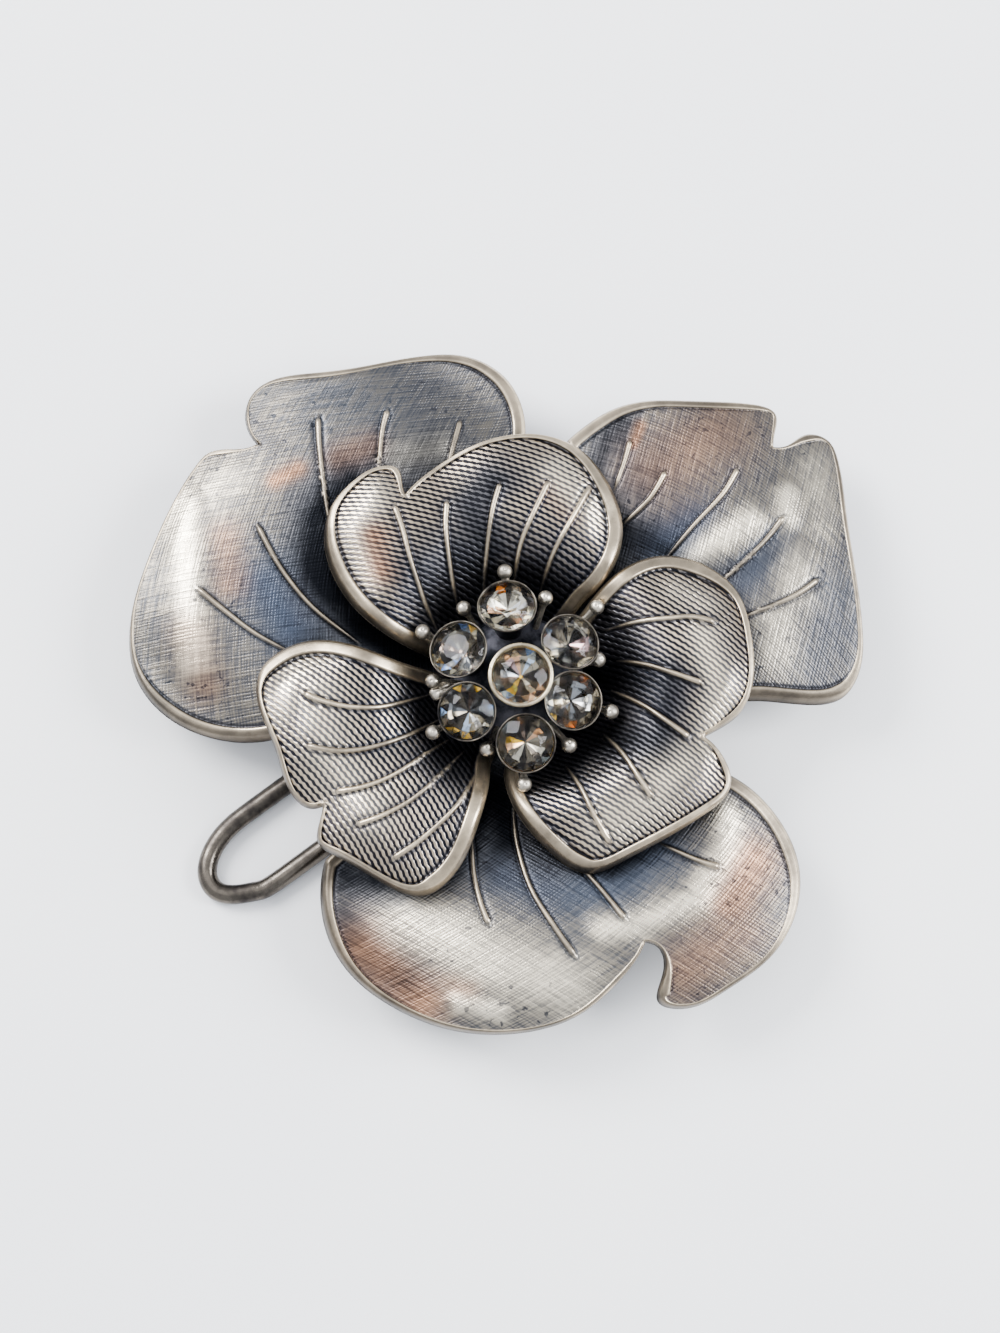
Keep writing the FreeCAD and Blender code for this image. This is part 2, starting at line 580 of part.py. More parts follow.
# ---------------------------------------------------------------- check and write
doc.recompute()
nodes = (petals + [plate, hair_fork, saddle, rivet, cluster_base, bezel]
         + cups + stones + beads)
for obj in doc.Objects:
    if "Invalid" in obj.State or "Error" in obj.State:
        raise RuntimeError("%s did not compute: %s" % (obj.Name, obj.State))
os.makedirs("parts", exist_ok=True)
for node in nodes:
    node.Label = node.Name
    shape = node.Shape
    if shape.isNull() or not shape.isValid() or len(shape.Solids) != 1:
        raise RuntimeError("%s has a bad shape" % node.Name)
    shape.exportStep("parts/%s.step" % node.Name)
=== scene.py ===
import math
import random

import bpy
import numpy as np
from mathutils import Matrix, Vector, geometry
from mathutils.kdtree import KDTree


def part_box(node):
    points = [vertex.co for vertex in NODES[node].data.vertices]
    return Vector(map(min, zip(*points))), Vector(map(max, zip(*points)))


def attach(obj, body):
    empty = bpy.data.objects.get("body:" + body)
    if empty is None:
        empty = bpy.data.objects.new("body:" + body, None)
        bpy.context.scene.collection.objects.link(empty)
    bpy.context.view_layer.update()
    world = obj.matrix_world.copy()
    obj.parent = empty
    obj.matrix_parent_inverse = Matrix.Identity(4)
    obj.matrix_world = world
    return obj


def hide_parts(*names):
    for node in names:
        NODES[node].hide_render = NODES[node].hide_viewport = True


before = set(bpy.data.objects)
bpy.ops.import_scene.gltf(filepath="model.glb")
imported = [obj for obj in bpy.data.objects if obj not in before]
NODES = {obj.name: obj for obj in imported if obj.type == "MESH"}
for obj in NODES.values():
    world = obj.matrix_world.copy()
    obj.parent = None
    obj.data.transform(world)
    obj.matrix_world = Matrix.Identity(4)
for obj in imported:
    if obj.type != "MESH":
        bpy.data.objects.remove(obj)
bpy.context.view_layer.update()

MM = 0.001
random.seed(7)
rng = np.random.default_rng(7)


def centre_of(node):
    low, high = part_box(node)
    return (low + high) / 2


FLOWER = centre_of("back_plate") / MM          # the flower's axis, in mm
AXIS_X, AXIS_Y = FLOWER.x, FLOWER.y


# ------------------------------------------------------------------ mesh helpers
def new_object(name, verts_mm, faces, smooth=True):
    mesh = bpy.data.meshes.new(name)
    mesh.from_pydata([tuple(c * MM for c in v) for v in verts_mm], [], faces)
    mesh.update()
    if smooth:
        mesh.polygons.foreach_set("use_smooth", [True] * len(mesh.polygons))
    obj = bpy.data.objects.new(name, mesh)
    bpy.context.scene.collection.objects.link(obj)
    return obj


def finish_piece(obj, material, slot_name, *nodes):
    obj.data.materials.append(material)
    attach(obj, "root")
    if nodes:
        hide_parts(*nodes)
    return obj


def ring_faces(rows, cols, start=0):
    """Quads between rows of rings, each ring with cols points."""
    faces = []
    for i in range(rows):
        a, b = start + i * cols, start + (i + 1) * cols
        faces += [(a + j, b + j, b + (j + 1) % cols, a + (j + 1) % cols) for j in range(cols)]
    return faces


def ball_mesh(centre, rows, cols, shape):
    """A round body; shape gives each point's offset from the centre along a direction."""
    points = []
    for i in range(rows + 1):
        lat = math.pi * i / rows
        for j in range(cols):
            lon = 2 * math.pi * j / cols
            out = np.array([math.sin(lat) * math.cos(lon), math.sin(lat) * math.sin(lon), math.cos(lat)])
            points.append(tuple(centre + shape(out, lat, lon)))
    return points, ring_faces(rows, cols)


def float_attribute(obj, name, values):
    attribute = obj.data.attributes.new(name, "FLOAT", "POINT")
    attribute.data.foreach_set("value", np.asarray(values, np.float32))


def cad_arrays(node):
    """Welded vertices (mm) and triangles of a CAD node."""
    mesh = NODES[node].data
    raw = np.array([v.co for v in mesh.vertices], float).reshape(-1, 3) / MM
    keys, index = np.unique(np.round(raw, 4), axis=0, return_inverse=True)
    index = index.reshape(-1)
    mesh.calc_loop_triangles()
    tris = np.array([t.vertices[:] for t in mesh.loop_triangles])
    tris = index[tris]
    good = (tris[:, 0] != tris[:, 1]) & (tris[:, 1] != tris[:, 2]) & (tris[:, 0] != tris[:, 2])
    return keys, tris[good]


# ------------------------------------------------------------------ node helpers
class Shader:
    """Small helper for building a material's node tree."""

    def __init__(self, name):
        self.material = bpy.data.materials.new(name)
        self.material.use_nodes = True
        self.tree = self.material.node_tree
        self.bsdf = self.tree.nodes["Principled BSDF"]

    def node(self, kind, **values):
        made = self.tree.nodes.new(kind)
        for key, value in values.items():
            setattr(made, key, value)
        return made

    def put(self, socket, value):
        if isinstance(value, bpy.types.NodeSocket):
            self.tree.links.new(value, socket)
        elif isinstance(value, (tuple, list)) and len(value) == 3 and socket.type == "RGBA":
            socket.default_value = (*value, 1.0)
        else:
            socket.default_value = value

    def math(self, operation, a, b=0.0, c=0.0, clamp=False):
        made = self.node("ShaderNodeMath", operation=operation, use_clamp=clamp)
        for socket, value in zip(made.inputs, (a, b, c)):
            self.put(socket, value)
        return made.outputs[0]

    def times(self, a, b, clamp=False):
        return self.math("MULTIPLY", a, b, clamp=clamp)

    def scaled(self, value, factor, offset, clamp=False):
        return self.math("MULTIPLY_ADD", value, factor, offset, clamp)

    def mix(self, factor, a, b):
        made = self.node("ShaderNodeMix", data_type="RGBA")
        self.put(made.inputs[0], factor)
        self.put(made.inputs[6], a)
        self.put(made.inputs[7], b)
        return made.outputs[2]

    def attribute(self, name):
        return self.node("ShaderNodeAttribute", attribute_name=name).outputs["Fac"]

    def coords(self):
        return self.node("ShaderNodeTexCoord").outputs["Object"]

    def noise(self, scale, detail=4.0, roughness=0.55, vector=None):
        made = self.node("ShaderNodeTexNoise")
        self.put(made.inputs["Scale"], scale)
        self.put(made.inputs["Detail"], detail)
        self.put(made.inputs["Roughness"], roughness)
        self.put(made.inputs["Vector"], vector or self.coords())
        return made.outputs["Fac"]

    def streaks(self, across, along, fine, coarse):
        """Noise drawn out into brush marks: fine across them, coarse along them."""
        made = self.node("ShaderNodeCombineXYZ")
        self.put(made.inputs[0], self.times(across, fine * 0.30))
        self.put(made.inputs[1], self.times(along, coarse * 0.30))
        return self.noise(1.0, 3.0, 0.6, made.outputs[0])

    def step(self, value, low, high, to_low=0.0, to_high=1.0):
        made = self.node("ShaderNodeMapRange", interpolation_type="SMOOTHSTEP")
        for socket, item in zip(made.inputs, (value, low, high, to_low, to_high)):
            self.put(socket, item)
        return made.outputs[0]

    def bump(self, height, distance, strength=1.0, normal=None):
        made = self.node("ShaderNodeBump")
        self.put(made.inputs["Strength"], strength)
        self.put(made.inputs["Distance"], distance)
        self.put(made.inputs["Height"], height)
        if normal is not None:
            self.put(made.inputs["Normal"], normal)
        return made.outputs[0]

    def finish(self, **values):
        for key, value in values.items():
            self.put(self.bsdf.inputs[key.replace("_", " ")], value)
        return self.material


# ------------------------------------------------------------------ petal geometry
def smooth01(t):
    t = np.clip(t, 0, 1)
    return t * t * (3 - 2 * t)


def fit_sheet(points, degree=12):
    """Smooth height over (u, v) fitted to the CAD petal's underside."""
    low, high = points[:, :2].min(0) - 0.5, points[:, :2].max(0) + 0.5

    def basis(uv):
        x = (uv - low) / (high - low) * 2 - 1
        tx = np.polynomial.chebyshev.chebvander(x[:, 0], degree)
        ty = np.polynomial.chebyshev.chebvander(x[:, 1], degree)
        return np.stack([tx[:, i] * ty[:, j] for i in range(degree + 1)
                         for j in range(degree + 1 - i)], 1)

    a = basis(points[:, :2])
    terms = a.shape[1]
    solution = np.linalg.lstsq(np.vstack([a, 0.01 * np.eye(terms)]),
                               np.concatenate([points[:, 2], np.zeros(terms)]), rcond=None)[0]
    return lambda uv: basis(uv) @ solution


def boundary_loop(tris):
    """Vertex indices round the single open edge of a set of triangles."""
    count = {}
    for a, b, c in tris:
        for e in ((a, b), (b, c), (c, a)):
            key = (min(e), max(e))
            count.setdefault(key, []).append(e)
    follow = {}
    for edges in count.values():
        if len(edges) == 1:
            follow[edges[0][0]] = edges[0][1]
    best = []
    left = set(follow)
    while left:
        start = left.pop()
        loop, here = [start], follow[start]
        while here != start and here in left:
            left.discard(here)
            loop.append(here)
            here = follow[here]
        if len(loop) > len(best):
            best = loop
    return best


def resample_loop(points, step):
    """Even samples round a closed loop, corners kept; returns points and corner flags."""
    n = len(points)
    ahead = np.roll(points, -1, 0) - points
    behind = points - np.roll(points, 1, 0)
    turn = np.abs(np.arctan2(behind[:, 0] * ahead[:, 1] - behind[:, 1] * ahead[:, 0],
                             (behind * ahead).sum(1)))
    corners = [i for i in range(n) if turn[i] > math.radians(38)]
    if not corners:
        corners = [0]
    out, flags = [], []
    for a, b in zip(corners, corners[1:] + [corners[0] + n]):
        run = np.array([points[k % n] for k in range(a, b + 1)])
        length = np.concatenate([[0], np.cumsum(np.hypot(*np.diff(run, axis=0).T))])
        parts = max(1, int(round(length[-1] / step)))
        at = np.linspace(0, length[-1], parts + 1)[:-1]
        out += list(np.stack([np.interp(at, length, run[:, k]) for k in (0, 1)], 1))
        flags += [True] + [False] * (parts - 1)
    out, flags = np.array(out), np.array(flags)
    for _ in range(14):
        mean = (np.roll(out, 1, 0) + np.roll(out, -1, 0)) / 2
        out = np.where(flags[:, None], out, out * 0.45 + mean * 0.55)
    return out, flags


def loop_normals(loop):
    """Inward normals of a loop, whichever way it runs."""
    tangent = np.roll(loop, -1, 0) - np.roll(loop, 1, 0)
    normal = np.stack([-tangent[:, 1], tangent[:, 0]], 1)
    normal /= np.maximum(1e-9, np.hypot(*normal.T))[:, None]
    return normal if loop_area(loop) > 0 else -normal


def tree_of(points):
    tree = KDTree(len(points))
    for i, p in enumerate(points):
        tree.insert((p[0], p[1], 0.0), i)
    tree.balance()
    return tree


def nearest(tree, points):
    index = np.empty(len(points), int)
    distance = np.empty(len(points))
    for i, p in enumerate(points):
        _, k, d = tree.find((p[0], p[1], 0.0))
        index[i] = k
        distance[i] = d
    return index, distance


def spline_samples(path, per=24):
    """Catmull-Rom samples along a path; returns points and 0..1 position."""
    p = np.array([path[0]] + list(path) + [path[-1]], float)
    out = []
    for i in range(len(p) - 3):
        for k in range(per):
            t = k / per
            a, b, c, d = p[i:i + 4]
            out.append(0.5 * ((2 * b) + (c - a) * t + (2 * a - 5 * b + 4 * c - d) * t * t
                              + (3 * b - a - 3 * c + d) * t ** 3))
    out.append(p[-2])
    return np.array(out), np.linspace(0, 1, len(out))


class Petal:
    """One petal: a raised rim, raised veins, soft relief and engraving on the CAD sheet."""

    def __init__(self, node):
        angle, veins, line_turn, tones = PETALS[node]
        self.layer = node.split("_")[0]
        self.inner = self.layer == "inner"
        self.cos, self.sin = math.cos(math.radians(angle)), math.sin(math.radians(angle))
        verts, tris = cad_arrays(node)
        local = self.to_local(verts)
        a, b, c = (local[tris[:, k]] for k in range(3))
        normal = np.cross(b - a, c - a)
        normal /= np.maximum(1e-12, np.linalg.norm(normal, axis=1))[:, None]
        under = tris[normal[:, 2] < -0.3]
        used = np.unique(under)
        centroids = local[under].mean(1)
        self.sheet = fit_sheet(np.vstack([local[used], centroids]))
        ring = boundary_loop(under)
        self.loop, self.corner = resample_loop(local[ring][:, :2], 0.12)
        self.inward = loop_normals(self.loop)
        self.tree = tree_of(self.loop)
        self.rim = self.rim_widths()
        self.veins = [spline_samples(v) for v in veins]
        self.line_turn = math.radians(line_turn)
        self.tones = tones
        self.spacing = MESH_STEP[self.layer] * 1.0

    def to_local(self, p):
        x, y = p[:, 0] - AXIS_X, p[:, 1] - AXIS_Y
        return np.stack([x * self.cos + y * self.sin, -x * self.sin + y * self.cos, p[:, 2]], 1)

    def to_row(self, u, v, z):
        return np.stack([AXIS_X + u * self.cos - v * self.sin,
                         AXIS_Y + u * self.sin + v * self.cos, z], 1)

    def rim_widths(self):
        """Broad rims along a petal's sides, narrow ones across its outer end."""
        outward_u = np.clip(-self.inward[:, 0], 0, 1)
        narrow, spare = RIM_WIDTH[self.layer]
        width = narrow + spare * (1 - outward_u ** 1.3)
        # the rims run out thin into the notch at the petal's outer end
        ends = self.loop[self.corner & (self.loop[:, 0] > 0.7 * self.loop[:, 0].max())]
        for end in ends:
            gap = np.hypot(*(self.loop - end).T)
            width = np.minimum(width, narrow * 0.8 + (width - narrow * 0.8) * smooth01((gap - 1) / 4))
        for _ in range(30):
            width = (np.roll(width, 1) + width * 2 + np.roll(width, -1)) / 4
        return width

    def inside(self, points):
        index, distance = nearest(self.tree, points)
        offset = points - self.loop[index]
        return (offset * self.inward[index]).sum(1) > 0, index, distance

    def to_lines(self, u, v):
        """Across the engraved lines (which bow a little) and along them, in mm."""
        c, s = math.cos(self.line_turn), math.sin(self.line_turn)
        along, across = u * c - v * s, u * s + v * c
        return across + LINE_BOW * along ** 2, along

    def from_lines(self, across, along):
        c, s = math.cos(self.line_turn), math.sin(self.line_turn)
        across = across - LINE_BOW * along ** 2
        return np.stack([along * c + across * s, across * c - along * s], -1)

    def field_points(self):
        """Mesh points of the open field: rows along the engraving on the inner petals."""
        low, high = self.loop.min(0), self.loop.max(0)
        if self.inner:
            step, pitch = self.spacing, LINE_PITCH / 4
            reach = 30.0
            rows = np.arange(-reach, reach, pitch)
            alongs = np.arange(-reach, reach, step)
            shift = (np.arange(len(rows)) % 2) * step / 2
            grid = self.from_lines(np.repeat(rows, len(alongs)),
                                   (alongs[None, :] + shift[:, None]).reshape(-1))
            keep = np.all((grid > low) & (grid < high), axis=1)
            grid = grid[keep]
        else:
            us = np.arange(low[0], high[0], self.spacing)
            vs = np.arange(low[1], high[1], self.spacing * 0.866)
            grid = np.array([(u + (j % 2) * self.spacing / 2, v)
                             for j, v in enumerate(vs) for u in us])
            grid = grid + rng.normal(0, self.spacing * 0.04, grid.shape)
        return grid

    def vein_points(self):
        """Mesh points that follow each vein, so that its ridge is crisp."""
        rows = []
        for samples, _ in self.veins:
            run = samples[::2]
            tangent = np.gradient(run, axis=0)
            tangent /= np.maximum(1e-9, np.hypot(*tangent.T))[:, None]
            side = np.stack([-tangent[:, 1], tangent[:, 0]], 1)
            for offset in VEIN_ROWS:
                rows.append(run + side * offset)
        return np.vstack(rows)

    def triangulate(self, detailed):
        points = [self.loop]
        fractions = RIM_ROWS if detailed else (0.5,)
        for t in fractions:
            every = 2 if t > 0.1 else 1
            reach = (self.rim * t)[::every]
            moved = self.loop[::every] + self.inward[::every] * reach[:, None]
            ok, _, distance = self.inside(moved)
            points.append(moved[ok & (distance > 0.93 * reach)])
        if detailed:
            veins = self.vein_points()
            ok, index, distance = self.inside(veins)
            points.append(veins[ok & (distance > self.rim[index] * RIM_ROWS[-1] + 0.06)])
            grid = self.field_points()
            _, gap = nearest(tree_of(veins), grid)
            grid = grid[gap > 0.24]
            margin = RIM_ROWS[-1]
        else:
            us, vs = (np.arange(self.loop[:, k].min(), self.loop[:, k].max(), 1.0) for k in (0, 1))
            grid = np.array([(u, v) for u in us for v in vs])
            margin = 1.0
        ok, index, distance = self.inside(grid)
        points.append(grid[ok & (distance > self.rim[index] * margin + 0.08)])
        flat = np.vstack(points)
        n = len(self.loop)
        edges = [(i, (i + 1) % n) for i in range(n)]
        got = geometry.delaunay_2d_cdt([Vector(p) for p in flat], edges, [], 1, 1e-6)
        # the outline's points come first, in their own order
        place = {k: i for i, origins in enumerate(got[3]) for k in origins}
        first = [place[k] for k in range(n)]
        rest = sorted(set(range(len(got[0]))) - set(first))
        order = first + rest
        new_index = {old: new for new, old in enumerate(order)}
        verts = np.array([tuple(got[0][old]) for old in order])
        faces = [tuple(new_index[i] for i in f) for f in got[2]]
        return verts, faces

    def tone(self, kind, uv, spread=1.0):
        """How strongly each point lies in the brush strokes of one kind: tinted patina, copper, polished
        metal with painted highlights, and patina with painted shade.
        """
        total = np.zeros(len(uv))
        for path, width, strength in self.tones.get(kind, []):
            total = np.maximum(total, strength * stroke(uv, path, width * spread))
        return total


LINE_PITCH = 0.53           # spacing of the inner petals' engraved lines, mm
LINE_DEPTH = 0.045          # half the depth of those lines, mm
LINE_BOW = 0.012            # how much they bow, mm across per mm along, squared
SHEET = 0.9                 # thickness of a petal, mm
RELIEF = 0.32               # height of the soft swells that carry the highlights, mm
RIM_HEIGHT = {"inner": 0.32, "outer": 0.16}
RIM_WIDTH = {"inner": (0.52, 0.98), "outer": (0.36, 0.95)}      # at the end, and more at the sides
VEIN_HEIGHT, VEIN_RADIUS, VEIN_TAPER = 0.36, 0.32, 0.12
MESH_STEP = {"inner": 0.30, "outer": 0.26}      # spacing of the mesh on the open field, mm
WALL_STEPS, WALL_TUCK = 4, 0.024        # rings of the edge's wall, and how far it's tucked in
# where the mesh has rows of points: in rim widths from the edge, and in mm from a vein
RIM_ROWS = (0.05, 0.11, 0.18, 0.26, 0.36, 0.5, 0.66, 0.78, 0.86, 0.93, 1.0, 1.07, 1.16, 1.3)
VEIN_ROWS = (-0.62, -0.46, -0.35, -0.26, -0.17, 0.0, 0.17, 0.26, 0.35, 0.46, 0.62)


def path_gap(uv, path):
    """Distance of each point from a path, and how far along the path it lies (0 to 1)."""
    gap, along = np.full(len(uv), 1e9), np.zeros(len(uv))
    parts = len(path) - 1
    for k, ((u0, v0), (u1, v1)) in enumerate(zip(path[:-1], path[1:])):
        du, dv = u1 - u0, v1 - v0
        t = np.clip(((uv[:, 0] - u0) * du + (uv[:, 1] - v0) * dv) / (du * du + dv * dv), 0, 1)
        here = np.hypot(uv[:, 0] - u0 - t * du, uv[:, 1] - v0 - t * dv)
        closer = here < gap
        gap = np.where(closer, here, gap)
        along = np.where(closer, (k + t) / parts, along)
    return gap, along


def stroke(uv, path, width):
    """1 on a path, falling off smoothly over the width."""
    return np.exp(-(path_gap(uv, path)[0] / width) ** 2)


def petal_top(petal, uv, index, distance):
    """Upper-face height over (u, v) and the masks that the finish, its painted highlights and its
    painted shade use.
    """
    u, v = uv[:, 0], uv[:, 1]
    width = petal.rim[index]
    t = distance / width        # 0 on the edge, 1 where the rim ends
    outward = -petal.inward[index]
    row_out = np.stack([outward[:, 0] * petal.cos - outward[:, 1] * petal.sin,
                        outward[:, 0] * petal.sin + outward[:, 1] * petal.cos], 1)
    # the edge rolls over furthest on the side that faces the loop end of the pin
    roll = smooth01(row_out @ np.array([-0.98, -0.2]) * 1.4)
    away = smooth01((np.hypot(u, v) - 6.0) / 3.0)
    raised = RIM_HEIGHT[petal.layer] * smooth01(width / 0.9)
    broad = smooth01((width - 0.3) / 0.4) if petal.inner else smooth01((width - 0.5) / 0.7)
    band = smooth01(t / 0.26) * (1 - smooth01((t - 0.86) / 0.14))
    crown = 1 + 0.12 * np.sin(np.pi * np.clip(t, 0, 1))
    fall = -(0.22 + 0.75 * roll) * np.clip(1 - t / (0.32 + 0.3 * roll), 0, 1) ** 2
    groove = -0.12 * broad * np.exp(-((t - 1.06) / 0.09) ** 2)
    height = (raised * band * crown + fall + groove) * away
    vein_mask, vein_side = np.zeros(len(uv)), np.zeros(len(uv))
    for samples, _ in petal.veins:
        gap, along = path_gap(uv, samples[::4])
        end = smooth01(along / 0.07) * smooth01((1 - along) / 0.3 + 0.25)
        x = gap / ((VEIN_RADIUS - VEIN_TAPER * along) * (0.6 + 0.4 * end))
        dome = np.clip(1 - x ** 2, 0, 1) ** 0.7
        height += (VEIN_HEIGHT * dome * (0.35 + 0.65 * end)
                   - 0.07 * np.exp(-((x - 1.45) / 0.4) ** 2)) * smooth01((t - 1.0) * 4)
        vein_mask = np.maximum(vein_mask, smooth01(1.6 * (1.05 - x)) * (0.3 + 0.7 * end))
        vein_side = np.maximum(vein_side, np.exp(-((x - 1.45) / 0.5) ** 2))
    rim_mask = smooth01((1.0 - t) * 10) * away
    edge = np.exp(-((t - 1.1) / 0.13) ** 2) * away * broad
    # brighter lines along both edges of the rim band, fainter where it rolls over: wear and painted
    # highlights
    lip_polish_and_highlight = np.exp(-((t - 0.86) / 0.1) ** 2) + np.exp(-((t - 0.16) / 0.14) ** 2) * (1 - 0.6 * roll)
    curl = np.clip(1 - t / (0.25 + 0.35 * roll), 0, 1) * away * (0.25 + 0.75 * roll)
    swell = petal.tone("polish_and_highlight", uv, 1.5) - 0.8 * petal.tone("blue", uv, 1.3)
    height += RELIEF * swell * smooth01((distance - width) / 2.0)
    if petal.inner:
        across, _ = petal.to_lines(u, v)
        field = smooth01((t - 1.1) * 2.5) * (1 - vein_mask)
        height += LINE_DEPTH * np.sin(2 * np.pi * across / LINE_PITCH) * field
    masks = {"rim": rim_mask, "vein": vein_mask, "lip": lip_polish_and_highlight * away * rim_mask,
             "groove": np.maximum(edge, vein_side * 0.85), "curl": curl}
    return petal.sheet(uv) + SHEET + height, masks


def line_phases(petal, uv):
    """Positions across the two sets of fine lines, in line spacings."""
    across, along = petal.to_lines(uv[:, 0], uv[:, 1])
    if petal.inner:
        return across / LINE_PITCH, (along * 0.85 + across * 0.75) / 0.62
    return across / 0.30, along / 0.30
